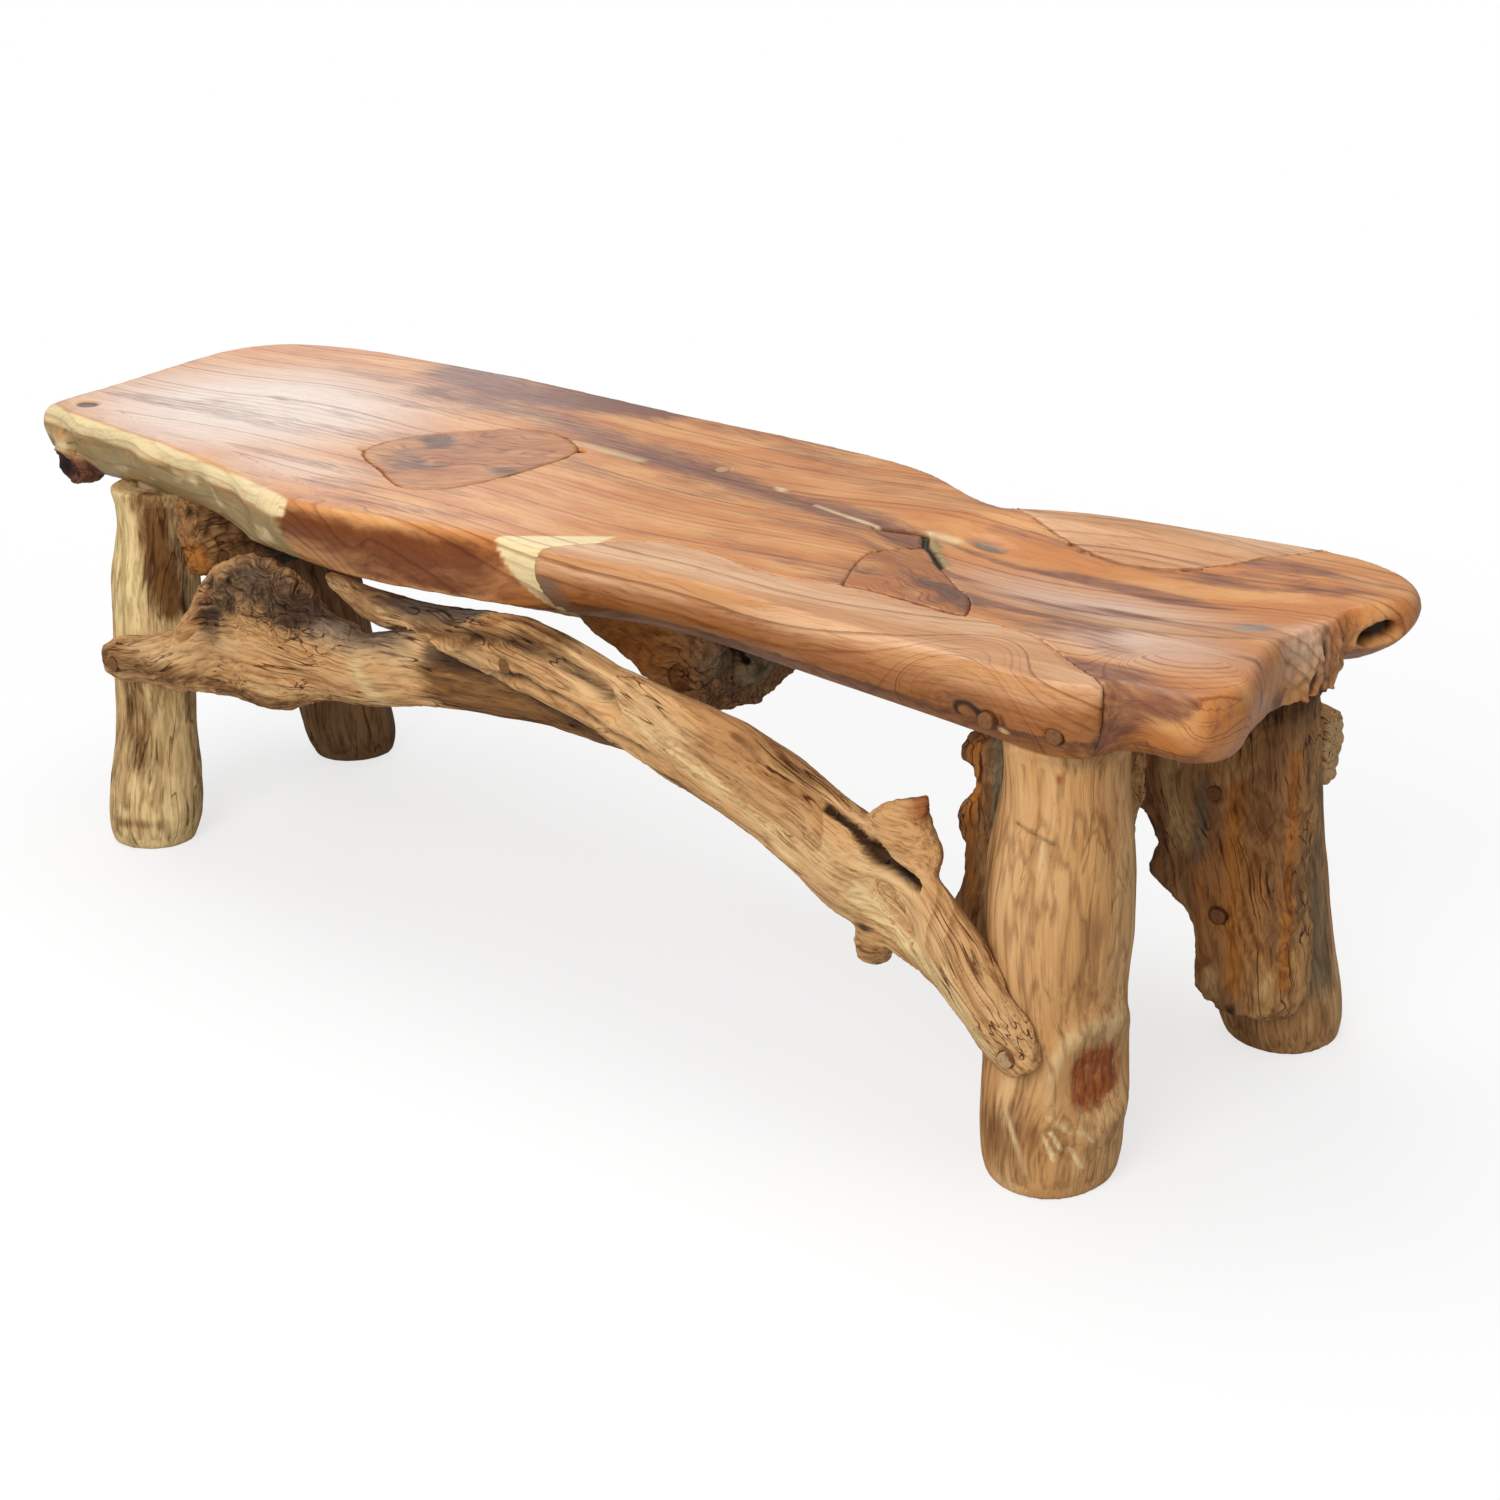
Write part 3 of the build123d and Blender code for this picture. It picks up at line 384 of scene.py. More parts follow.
def fresh_tree(owner):
    """Empty the node tree of a material or world; returns what adds a node to it."""
    owner.use_nodes = True
    owner.node_tree.nodes.clear()
    return partial(add_node, owner.node_tree)


def geometry_tree(name, *sockets):
    """An empty geometry tree with these inputs, what adds a node to it, and its inputs."""
    tree = bpy.data.node_groups.new(name, "GeometryNodeTree")
    for label, kind, value in (("Geometry", "Geometry", None), *sockets):
        socket = tree.interface.new_socket(
            label, in_out="INPUT", socket_type="NodeSocket" + kind
        )
        if value is not None:
            socket.default_value = value
    tree.interface.new_socket("Geometry", in_out="OUTPUT", socket_type="NodeSocketGeometry")
    add = partial(add_node, tree)
    return tree, add, add("NodeGroupInput").outputs


def relief_tree():
    """Weathered relief: furrows that run along the growth, pressed into the wood."""
    tree, add, given = geometry_tree(
        "weathered_relief", ("Depth", "Float", 2 * MM), ("Spacing", "Float", 14 * MM),
        ("Stretch", "Float", 9.0), ("Seed", "Float", 1.0), ("Material", "Material", None),
    )
    grain = add(STORED, "grain", data_type="FLOAT_VECTOR")
    share = add(STORED, "relief", data_type="FLOAT")
    shrink = add(MATHS, 1.0, given["Stretch"], operation="DIVIDE")
    scale = add("ShaderNodeCombineXYZ", shrink, 1.0, 1.0)
    drawn = add(VECTOR_MATHS, grain, scale, **TIMES)
    often = add(MATHS, 1.0, given["Spacing"], operation="DIVIDE")
    wide = add(MATHS, often, 0.36, **TIMES)
    furrow = add(
        NOISE, Vector=drawn, W=given["Seed"], Scale=often, Detail=2.0, Roughness=0.55,
        Distortion=0.25, noise_dimensions="4D",
    )
    swell = add(
        NOISE, Vector=drawn, W=given["Seed"], Scale=wide, Detail=1.0, Roughness=0.5,
        noise_dimensions="4D",
    )
    # A crease is sharp at the bottom: the distance of the noise from its middle value.
    centred = add(MATHS, furrow, 0.5, operation="SUBTRACT")
    crease = add(MATHS, centred, operation="ABSOLUTE")
    raised = add(MATHS, crease, 4.2, -0.55, **TIMES_PLUS)
    low = add(MATHS, swell, 2.4, -1.2, **TIMES_PLUS)
    both = add(MATHS, raised, low, operation="ADD")
    amount = add(MATHS, both, given["Depth"], **TIMES)
    masked = add(MATHS, amount, share, **TIMES)
    push = add(VECTOR_MATHS, add("GeometryNodeInputNormal"), Scale=masked, operation="SCALE")
    moved = add("GeometryNodeSetPosition", given["Geometry"], Offset=push)
    # Sanded wood keeps no painted crease shade: there the stored distance is raised.
    sanded = add(MATHS, share, -0.3, 0.3, **TIMES_PLUS)
    shown = add(MATHS, crease, sanded, operation="ADD")
    kept = add(
        "GeometryNodeStoreNamedAttribute", moved, Name="crease", Value=shown,
        data_type="FLOAT", domain="POINT",
    )
    rounded = add("GeometryNodeSetShadeSmooth", kept)
    whole = add("GeometryNodeRealizeInstances", rounded)
    coated = add("GeometryNodeSetMaterial", whole, Material=given["Material"])
    add("NodeGroupOutput", coated)
    return tree


def plug_tree():
    """A plug on each place, stood along its own direction and turned by chance."""
    tree, add, given = geometry_tree(
        "plugs_on_places", ("Plug", "Object", None), ("Seed", "Int", 3),
        ("Material", "Material", None),
    )
    form = add("GeometryNodeObjectInfo", given["Plug"]).outputs["Geometry"]
    way = add(STORED, "way", data_type="FLOAT_VECTOR")
    stand = add("FunctionNodeAlignRotationToVector", Vector=way, axis="Z")
    chance = add(
        "FunctionNodeRandomValue", 0.0, 2 * math.pi, Seed=given["Seed"], data_type="FLOAT"
    )
    spin = add("ShaderNodeCombineXYZ", 0.0, 0.0, chance)
    turn = add("FunctionNodeRotateRotation", stand, spin, rotation_space="LOCAL")
    placed = add(
        "GeometryNodeInstanceOnPoints", given["Geometry"], Instance=form, Rotation=turn
    )
    whole = add("GeometryNodeRealizeInstances", placed)
    coated = add("GeometryNodeSetMaterial", whole, Material=given["Material"])
    add("NodeGroupOutput", coated)
    return tree


def grow(obj, tree, **values):
    """Run a node tree on an object and keep what it makes as a plain mesh."""
    modifier = obj.modifiers.new(tree.name, "NODES")
    modifier.node_group = tree
    for item in tree.interface.items_tree:
        key = item.name.lower()
        if item.in_out == "INPUT" and key in values:
            modifier[item.identifier] = values[key]
    return settled(obj)


# ------------------------------------------------------------------ wood finishes
# The body is a colour or one of the settings. Stains are a mask, its tint and how ragged
# its edge is; later ones cover earlier ones. Widths are in millimetres, run is how many
# times longer than wide the pattern is, and shares are how strongly it shows.
Finish = namedtuple("Finish", (
    "body", "light", "streak", "line", "stains", "streak_mm", "fibre_mm", "furrow_mm", "run",
    "line_mm", "streak_share", "line_share", "rough", "bump_mm", "furrow_share",
))
FINISHES = {
    # Oiled heartwood: warm orange-brown with purple-brown figure and a soft sheen; its pale bleach
    # is partly a painted sheen.
    "sanded_oiled_teak_heartwood": Finish(
        "seat_colour", "#DA9F62", "#D0AA8C", "#A97C60",
        (("bleach", "#E0CDBF", 0.5), ("dark", "#80503A", 1.5), ("red", "#763D14", 0.6),
         ("brown", "#A08A5C", 1.6), ("pale", "#E9D4A2", 0.8), ("grey", "#989082", 1.0)),
        4.0, 2.6, 10.0, 11.0, 10.0, 0.34, 0.62, 0.32, 0.5, 0.6,
    ),
    # Inlaid teak: sawn another way, with swirling figure of its own.
    "sanded_teak_inlay": Finish(
        "inlay_colour", "#C28852", "#CBA386", "#A87658",
        (("red", "#A5602F", 1.0), ("dark", "#6E452F", 1.0), ("pale", "#E3C79C", 0.6)),
        4.5, 2.6, 9.0, 5.0, 8.0, 0.65, 0.65, 0.36, 0.4, 0.3,
    ),
    # Edge boards: redder teak with long dark growth lines.
    "sanded_teak_edge_board": Finish(
        "board_colour", "#DDB086", "#BB9076", "#8A5C44",
        (("red", "#A4642E", 0.8), ("dark", "#56341F", 1.4), ("pale", "#E2C08C", 0.8),
         ("grey", "#8F7A68", 1.2)),
        4.5, 2.4, 8.0, 20.0, 8.0, 0.50, 0.62, 0.30, 0.4, 0.4,
    ),
    # Peeled log in the sun: cream sapwood with brown stains left by the bark.
    "peeled_teak_sapwood_log": Finish(
        "log_colour", "#EBCF97", "#C4A47C", "#C9AC86",
        (("brown", "#7F5931", 2.6), ("pale", "#F0DA9F", 1.2), ("grey", "#8F8064", 1.6),
         ("dark", "#4A3523", 1.4), ("red", "#A2703E", 0.8)),
        7.0, 3.0, 13.0, 7.0, 14.0, 0.70, 0.25, 0.68, 1.4, 0.7,
    ),
    # Peeled log in the shade: grey-brown, dried out, and darkened further as painted shade.
    "weathered_teak_log": Finish(
        "#6B5036", "#886844", "#A88766", "#B09274",
        (("red", "#7A4A2C", 1.0), ("dark", "#3A2A1C", 1.4), ("grey", "#6B6052", 1.4)),
        7.0, 3.0, 16.0, 12.0, 16.0, 0.75, 0.30, 0.72, 1.4, 0.8,
    ),
    # Shaved log: golden tan with fine upright grain.
    "shaved_teak_log": Finish(
        "#CB9A62", "#DDB27C", "#C8A47C", "#CBA986",
        (("brown", "#8E643A", 2.2), ("pale", "#E6CB98", 1.2), ("grey", "#8C7C60", 1.6),
         ("dark", "#5E4128", 1.4), ("red", "#A0582C", 1.0)),
        4.0, 2.4, 10.0, 20.0, 11.0, 0.42, 0.26, 0.58, 0.9, 0.35,
    ),
    # Branch: sun-bleached teak with dark lines in its furrows, partly painted shade.
    "weathered_teak_branch": Finish(
        "branch_colour", "#D9B17E", "#AE8962", "#A88462",
        (("brown", "#8A6238", 2.2), ("pale", "#E6C993", 1.4), ("grey", "#75675A", 1.4),
         ("dark", "#4C3828", 1.4), ("red", "#9A5A33", 1.2)),
        5.0, 2.6, 8.0, 9.0, 9.0, 0.80, 0.45, 0.66, 2.2, 1.0,
    ),
    # Root: brown and folded, orange where it was cut.
    "weathered_teak_root": Finish(
        "root_colour", "#B98E5A", "#A07A58", "#A27E5E",
        (("red", "#B87838", 1.2), ("brown", "#86603A", 1.8), ("pale", "#D6B57C", 1.6),
         ("grey", "#77705C", 1.4), ("dark", "#38281C", 1.4)),
        6.0, 2.8, 10.0, 7.0, 10.0, 0.75, 0.40, 0.66, 2.2, 0.9,
    ),
    # Turned hardwood, end grain up: pale and close-pored.
    "turned_hardwood": Finish(
        "#DDBB8C", "#E6CCA0", "#B8946C", "#B08A64",
        (("brown", "#A07246", 0.6), ("dark", "#5E4430", 1.0)),
        2.4, 1.6, 4.0, 1.5, 2.0, 0.60, 0.5, 0.55, 0.3, 0.3,
    ),
}


def wood(name, finish):
    """Wood that reads its growth, stains, wear and painted shade from attributes kept on the
    piece.
    """
    material = bpy.data.materials.new(name)
    add = fresh_tree(material)
    if finish.body.startswith("#"):
        colour = linear(finish.body)
    else:
        colour = tuple(getattr(bpy.context.scene.bench_wood, finish.body))
    read = {}
    for label in ("grain", "rings", "relief", "crease", "seam", "hollow"):
        source = add("ShaderNodeAttribute", attribute_name=label)
        read[label] = source.outputs["Vector" if label == "grain" else "Fac"]

    # The growth wavers a little, and everything drawn along it wavers with it.
    waver = add(NOISE, Vector=read["grain"], Scale=8.0, Detail=2.0, Roughness=0.5)
    swing = add(
        VECTOR_MATHS, waver.outputs["Color"], (0.0, 0.030, 0.030), read["grain"], **TIMES_PLUS
    )
    pattern = {}
    for label, stretch, width_mm, detail, rough in (
        ("figure", finish.run * 0.5, finish.streak_mm * 9, 3.0, 0.55),
        ("streak", finish.run, finish.streak_mm, 5.0, 0.62),
        ("fibre", finish.run * 1.8, finish.fibre_mm, 2.0, 0.6),
        ("furrow", finish.run * 2.4, finish.furrow_mm, 1.5, 0.45),
        ("blotch", 1.7, 55.0, 5.0, 0.6),
    ):
        drawn = add(VECTOR_MATHS, swing, (1 / stretch, 1.0, 1.0), **TIMES)
        pattern[label] = add(
            NOISE, Vector=drawn, Scale=1 / (width_mm * MM), Detail=detail, Roughness=rough
        )

    # Growth lines: slow on one side, sharp on the other, each as strong as chance has it.
    bent = add(MATHS, read["rings"], 1 / (finish.line_mm * MM), pattern["figure"], **TIMES_PLUS)
    phase = add(MATHS, pattern["streak"], 0.35, bent, **TIMES_PLUS)
    ring = add(MATHS, phase, operation="FLOOR")
    part = add(MATHS, phase, operation="FRACT")
    chance = add("ShaderNodeTexWhiteNoise", W=ring, noise_dimensions="1D")
    rise = add(RANGE, part, 0.35, 0.92, **SOFT)
    fall = add(RANGE, part, 1.0, 0.92, **SOFT)
    sharp = add(MATHS, rise, fall, **TIMES)
    growth_line = add(MATHS, sharp, chance, **TIMES)
    # Checks: thin dark splits where the furrow pattern crosses its middle value.
    centred = add(MATHS, pattern["furrow"], 0.5, operation="SUBTRACT")
    apart = add(MATHS, centred, operation="ABSOLUTE")
    split = add(RANGE, apart, 0.028, 0.0, **SOFT)
    often = add(RANGE, pattern["blotch"], 0.44, 0.58, **SOFT)
    broken = add(MATHS, split, often, **TIMES)
    check = add(MATHS, broken, read["relief"], **TIMES)

    # Ground colour, then stains whose edges run out along the grain.
    shade = add(RANGE, pattern["figure"], 0.38, 0.66, **SOFT)
    colour = add(MIX, shade, colour, linear(finish.light), **OF_COLOURS)
    for mask, tint, ragged in finish.stains:
        seen = add("ShaderNodeAttribute", attribute_name=mask).outputs["Fac"]
        torn = add(MATHS, pattern["streak"], ragged * 0.6, seen, **TIMES_PLUS)
        torn = add(MATHS, pattern["blotch"], ragged * 0.4, torn, **TIMES_PLUS)
        spread = add(RANGE, torn, 0.5 * ragged + 0.10, 0.5 * ragged + 0.90, **SOFT)
        there = add(RANGE, seen, 0.0, 0.2, **SOFT)
        share = add(MATHS, spread, there, **TIMES)
        colour = add(MIX, share, colour, linear(tint), **OF_COLOURS)
    # Streaks, growth lines and checks darken whatever lies under them, as do seams; creases and
    # hollows are darkened as painted shade.
    for value, low, high, most, tint in (
        (pattern["streak"], 0.50, 0.74, finish.streak_share, finish.streak),
        (pattern["fibre"], 0.48, 0.72, finish.streak_share * 0.7, finish.streak),
        (growth_line, 0.05, 0.90, finish.line_share, finish.line),
        (check, 0.0, 1.0, finish.furrow_share, "#7A5A42"),
        # Painted shade: the bottoms of the creases are darkened.
        (read["crease"], 0.06, 0.0, 0.45, "#8A6A50"),
        (read["seam"], 0.2, 1.0, 0.45, "#8A644A"),
        # Painted shade: hollows are darkened towards near black, with a few knots and marks dark
        # in their own colour too.
        (read["hollow"], 0.1, 0.9, 1.0, "#3C2C22"),
    ):
        share = add(RANGE, value, low, high, 0.0, most, **SOFT)
        colour = add(
            MIX, share, colour, linear(tint), data_type="RGBA", blend_type="MULTIPLY"
        )

    fine = add(MATHS, pattern["fibre"], 0.35, pattern["streak"], **TIMES_PLUS)
    height = add(MATHS, check, -0.45, fine, **TIMES_PLUS)
    bump = add(
        "ShaderNodeBump", Strength=0.8, Distance=finish.bump_mm * MM, Height=height
    )
    polish = add(
        RANGE, pattern["streak"], 0.3, 0.7, finish.rough - 0.05, finish.rough + 0.08
    )
    worn = add(MATHS, read["relief"], 0.22, polish, use_clamp=True, **TIMES_PLUS)
    shader = add("ShaderNodeBsdfPrincipled", colour, Roughness=worn, Normal=bump, IOR=1.47)
    add("ShaderNodeOutputMaterial", shader)
    return material


def finish_named(name):
    """One of the wood finishes, made when it is first asked for."""
    return bpy.data.materials.get(name) or wood(name, FINISHES[name])


def zinc_steel():
    """Zinc-plated steel: bluish grey, slightly crystalline."""
    material = bpy.data.materials.new("zinc_plated_steel")
    add = fresh_tree(material)
    place = add("ShaderNodeTexCoord").outputs["Object"]
    spangle = add("ShaderNodeTexVoronoi", Vector=place, Scale=700.0)
    tone = add(RANGE, spangle, 0.0, 1.0, 0.28, 0.42)
    shade = add(MIX, spangle, linear("#AEB2B6"), linear("#C6CACD"), **OF_COLOURS)
    shader = add("ShaderNodeBsdfPrincipled", shade, Metallic=1.0, Roughness=tone)
    add("ShaderNodeOutputMaterial", shader)
    return material


# ------------------------------------------------------------------ pieces
RELIEF = relief_tree()
PLUGS = plug_tree()


def dressed(obj, node, finish):
    """A finished piece rides on the bench and stands for its CAD node."""
    obj.data.materials.clear()
    obj.data.materials.append(finish_named(finish))
    for face in obj.data.polygons:
        face.material_index = 0
    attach(obj, "root")
    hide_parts(node)


def weathered(obj, node, finish, growth, masks, depth, spacing, stretch, seed):
    """Store a piece's growth and stains, press the furrows in and dress it."""
    grain, rings = growth
    store(obj, "grain", grain)
    store(obj, "rings", rings)
    for name in ("relief", "seam", "hollow", *(row[0] for row in FINISHES[finish].stains)):
        store(obj, name, unit(masks.get(name, np.zeros(len(grain)))))
    grow(
        obj, RELIEF, depth=float(depth), spacing=float(spacing), stretch=float(stretch),
        seed=float(seed), material=finish_named(finish),
    )
    dressed(obj, node, finish)


def ready(name, node, voxel, round_off, neighbours=(), finer=None):
    """A block of wood with eased outer edges; edges against its neighbours stay sharp."""
    near = 6 * MM
    block = worked_block(name, [node], voxel)
    points = points_of(block)
    away = distance_to(points, near, neighbours)
    if finer:
        joints = (away < near) & (points[:, 2] > TOP - 14 * MM)
        refine(block, np.maximum(finer(points), joints))
        laid_on(block, [node])
        points = points_of(block)
        away = distance_to(points, near, neighbours)
    held = unit(2 * fade(away, 5 * MM))
    points = points + (smooth(points, block, round_off) - points) * (1 - held)[:, None]
    set_points(block, points)
    return block, points, held, fade(away, 2.6 * MM)


# Figure of the seat: places the growth lines flow round, with their reach along and
# across the seat and how strongly they are pushed apart.
SEAT_EYES = (
    ((345, 50), (160, 60), -0.72),
    ((-80, 195), (100, 40), -0.7),
    ((-649, -117), (50, 30), -0.75),
    ((651, -20), (60, 50), -0.7),
    ((-460, 20), (160, 80), -0.35),
)
# Stains here and below: each mask's places on a line or one place, reach and strength.
SEAT_STAINS = {
    "dark": (
        (((-430, 215), (-340, 190), (-260, 195), (-150, 230)), 85, 1),
        (((-400, 140), (-240, 130), (-100, 95), (20, 75)), 60, 0.7),
        (((-60, 75), (30, 62), (130, 36), (250, 20), (300, 10)), 50, 0.8),
        (((-115, 30), (-60, 0), (20, -10), (100, 0)), 30, 0.45),
        (((20, 100), (120, 130), (220, 140)), 30, 0.4),
        (((340, 85), (400, 95), (500, 88), (600, 105), (670, 90)), 22, 0.5),
        (((400, -85), (480, -99), (540, -105), (610, -85), (660, -60)), 18, 0.6),
        (((460, -120), (520, -110), (600, -150)), 30, 0.4),
        (((-200, -215), (-80, -190), (0, -170)), 22, 0.4),
        (((-290, -100), (-200, -120), (-100, -60)), 16, 0.35),
    ),
    "pale": (
        (((180, 32), (216, 22), (243, 16), (266, 10)), 6, 0.6),
        (((304, 38), (325, 42)), 16, 0.6),
        (((120, 56), (130, 54)), 8, 0.9),
        (((-140, 70), (-100, 65), (-46, 58)), 16, 0.5),
    ),
    "brown": ((((308, 24), (330, 4), (352, -16)), 12, 0.85),),
    "grey": (
        ((352, 56, 450), (34, 20, 40), 1.2),
        ((640, -10, 440), (34, 30, 40), 0.8),
    ),
    # Bleach: pale weathering of the top, and on its left third also a painted sheen of reflected
    # light.
    "bleach": (
        ((-500, -20, 450), (360, 300, 80), 0.95),
        ((-300, -160, 450), (200, 100, 50), 0.55),
        ((600, -120, 450), (180, 110, 50), 0.55),
        ((500, -20, 440), (260, 120, 50), 0.6),
        ((685, -10, 430), (55, 90, 60), 0.5),
    ),
}
CRACK = ((266, 8), (278, 17), (300, 33), (312, 14), (332, -3), (356, -26))
CRACK_HAIR = ((124, 48), (159, 38), (216, 21), (243, 14), (270, 8))
LEFT_KNOT = (-649, -117, 450)
GREY_HOLLOW = (352, 57, 441)
INLAY_TIPS = ((-284, -72, 450), (-118, 48, 450))
BARK_LINE = (
    (-700, -135), (-645, -156), (-529, -174), (-471, -181), (-379, -203), (-305, -222),
    (-222, -246),
)
# In metres along the bark side: where each scoop starts and ends.
SCOOPS = ((-0.655, -0.480), (-0.470, -0.228))


def seat_fine(points):
    """Where the seat needs finer faces: crack, knot, hollow, gaps and torn ends."""
    top = points[:, 2] > NEAR_TOP
    places = [stroke(points, CRACK, 16) * top, stroke(points, CRACK_HAIR, 8) * top]
    for centre, reach in ((LEFT_KNOT, 24), (GREY_HOLLOW, 34), *((tip, 12) for tip in INLAY_TIPS)):
        places.append(spot(points, centre, (reach, reach, 30)))
    places.append(spot(points, (690, 15, 420), (45, 75, 50)))
    places.append(spot(points, (-640, -150, 390), (55, 35, 30)))
    return np.maximum.reduce(places)


def seat_growth(points):
    """Growth places and rings of the seat slab."""
    x, y, z = points.T
    across = y.copy()
    for eye, reach, push in SEAT_EYES:
        far = (((points[:, :2] / MM - eye) / reach) ** 2).sum(1)
        across += push * (y - eye[1] * MM) * np.exp(-far)
    across += 0.012 * np.sin(x * 7.0 + 0.8) + 0.006 * np.sin(x * 17.0)
    rings = across + 0.8 * z
    # The lobe at the right shows its rings as upright lines, the cut face as arcs.
    lobe = unit(2.2 * spot(points, (660, -160, 420), (85, 75, 300)))
    top_rings = 1.1 * np.hypot(x - 0.640, 0.8 * (y + 0.085))
    face_rings = 0.110 * np.arctan2(y + 0.120, x - 0.640) + 0.005 * np.sin(z * 75.0 + x * 30.0)
    lobe_rings = top_rings + up_to(z, 0.430, 0.010) * (face_rings - top_rings)
    edge = unit(2 * stroke(points, BARK_LINE, 45))
    edge_rings = 1.1 * z + 0.004 * np.sin(x * 40.0)
    outside = np.maximum(-x - 0.222, 0) + np.maximum(x + 0.150, 0)
    arcs = fade(outside, 0.04) * up_to(y, -0.225, 0.02)
    arc_rings = 0.9 * np.hypot(x + 0.240, 1.3 * (z - 0.375))
    for share, own in ((lobe, lobe_rings), (edge, edge_rings), (arcs, arc_rings)):
        rings = rings + share * (own - rings)
    return np.stack([x, across, 0.6 * z], 1), rings


class BENCH_OT_seat(bpy.types.Operator):
    """Build the live-edge seat slab with its sapwood edge, crack and root burls."""

    bl_idname = "bench.seat"
    bl_label = "Seat slab"

    def execute(self, context):
        size = context.scene.bench_wood
        slab, points, held, seam = ready(
            "seat_slab_wood", "seat_slab", size.slab_voxel, 3,
            ("front_edge_board", "rear_edge_board", "seat_inlay", "seat_round_patch"), seat_fine,
        )
        x, y, z = points.T
        normals = points_of(slab, "normal")
        upright = normals[:, 2]
        top, near_top = upright > 0.4, z > NEAR_TOP
        free = 1 - held
        flank = unit(1.25 - 1.6 * np.abs(upright)) * free
        # Live edge: the bark side is scooped twice and tucks under in soft waves.
        live = up_to(x, -0.226, 0.012) * up_to(y, -0.02, 0.12)
        scoop = sum(
            np.sin(math.pi * ramp(x, start, end)) ** 1.5 * fade(np.abs(z - 0.412), 0.034)
            for start, end in SCOOPS
        )
        wave = np.sin(x * 52.0 + 1.2) + 0.6 * np.sin(x * 97.0 + z * 40.0)
        burl = spot(points, (-645, -140, 382), (75, 60, 45))
        root_end = spot(points, (700, 20, 410), (60, 100, 60))
        rough = np.maximum(burl, root_end)
        mouth = unit(1.7 * spot(points, (703, 80, 424), (26, 26, 16)))
        gnarl = ripple(points, 24, size.seed, 4)
        ridge = 1 - 3.0 * np.abs(ripple(points * (0.55, 1.0, 0.30), 14, size.seed + 1, 2))
        push = live * flank * (0.0022 * wave - 0.0110 * scoop)
        push += rough * (0.005 * gnarl + 0.0034 * ridge * (x > 0)) - 0.013 * mouth
        # What is sunk into the top: crack, hair crack, knot, grey hollow and inlay gaps.
        broad = ripple(points, 170, size.seed + 2, 2)
        crack = unit(1.6 * stroke(points, CRACK, 5.5)) * near_top
        hair = unit(1.5 * stroke(points, CRACK_HAIR, 4)) * near_top
        knot = unit(2.2 * spot(points, LEFT_KNOT, (19, 16, 40)))
        bowl = unit(1.6 * spot(points, GREY_HOLLOW, (30, 17, 40)))
        tips = unit(2 * np.maximum(*(spot(points, tip, (13, 8, 30)) for tip in INLAY_TIPS)))
        sunk = 0.005 * crack + 0.001 * hair + 0.002 * knot + 0.0055 * bowl + 0.006 * tips
        lip = 0.0016 * (stroke(points, CRACK, 16) - crack)
        points = points + normals * push[:, None]
        points[:, 2] += np.where(top, 0.0011 * broad * free - sunk + lip, 0.0)
        # The lobe's belly rises a little towards its rim.
        points[:, 2] += 0.006 * spot(points, (690, -150, 385), (60, 90, 30)) * (upright < 0.3)
        set_points(slab, points)

        masks = stained(points, SEAT_STAINS)
        for name in ("dark", "pale", "brown"):
            masks[name] = masks[name] * (z > 0.40)
        figure = unit(3 * ripple(points * (0.16, 1.0, 0.5), 45, size.seed + 8, 3) - 0.25)
        streaks = ripple(points * (0.5, 1.0, 1.0), 22, size.seed + 15, 3)
        # Sapwood: a cream rim over a tan, olive-streaked bark side, and a wedge by the board.
        rim = unit(1.8 * stroke(points, BARK_LINE, 12)) * down_to(z, 0.438, 0.008)
        skirt = unit(1.25 - 1.6 * upright) * (upright > -0.93)
        side = live * skirt * free * (1 - unit(2 * burl))
        wedge = unit((x - 0.012 - 0.88 * (0.449 - z)) / 0.005) * ramp(x, 0.105, 0.095)
        wedge *= unit((0.74 * (x - 0.012) - 0.212 - y) / 0.004)
        outside = np.maximum(-x - 0.224, 0) + np.maximum(x - 0.060, 0)
        cut = fade(outside, 0.010) * flank * (y < -0.15) * (1 - unit(2 * wedge))
        masks["red"] = cut * (0.92 - 0.30 * ramp(x, -0.02, 0.03) + 0.25 * streaks)
        lay(masks, "pale", 0.9 * rim, side * np.clip(0.10 + 1.2 * streaks, 0, 0.7), wedge)
        lay(masks, "pale", 1.1 * root_end * flank * unit(ridge - 0.35))
        lay(masks, "brown", side * (1 - rim) * (0.75 + 0.25 * ramp(z, 0.425, 0.395)))
        lay(masks, "brown", 0.9 * live * flank * fade(np.abs(x + 0.235), 0.030))
        lay(masks, "dark", (0.40 + 0.30 * ramp(x, 0.25, 0.35)) * figure * (1 - live * flank))
        # The burl and the root end's sides are darker wood; the faces under the seat are darkened
        # as painted shade.
        lay(masks, "dark", unit(2 * burl), 0.55 * root_end * flank, 0.5 * (upright < -0.6))
        covered = 1 - unit(1.4 * np.maximum(rim, side)) * (burl < 0.2)
        for name in ("dark", "bleach"):
            masks[name] = masks[name] * covered
        # Painted shade: the crack, hair crack, bowl, inlay gaps, the root end's mouth, pits and
        # grooves are darkened as hollows; the knot and the burl's bark are partly their own dark
        # colour.
        pit = 2.0 * rough * unit(-gnarl - 0.12)
        groove = 0.9 * root_end * flank * unit(-ridge - 0.1)
        bark = 0.62 * unit(2.2 * burl) * (0.75 + np.clip(gnarl, -0.5, 0.5))
        lay(masks, "hollow", crack, 0.35 * hair, 0.75 * knot, 0.45 * bowl, tips)
        lay(masks, "hollow", mouth, pit, groove, bark)
        masks["relief"] = unit(flank * (0.06 + 0.7 * live) + rough + 0.04) * free
        masks["seam"] = 0.3 * seam * top
        weathered(
            slab, "seat_slab", "sanded_oiled_teak_heartwood", seat_growth(points),
            masks, 1.2 * MM, size.groove_spacing, 6.0, size.seed,
        )
        return {"FINISHED"}


CURL_KNOT = (514, -234, 406)


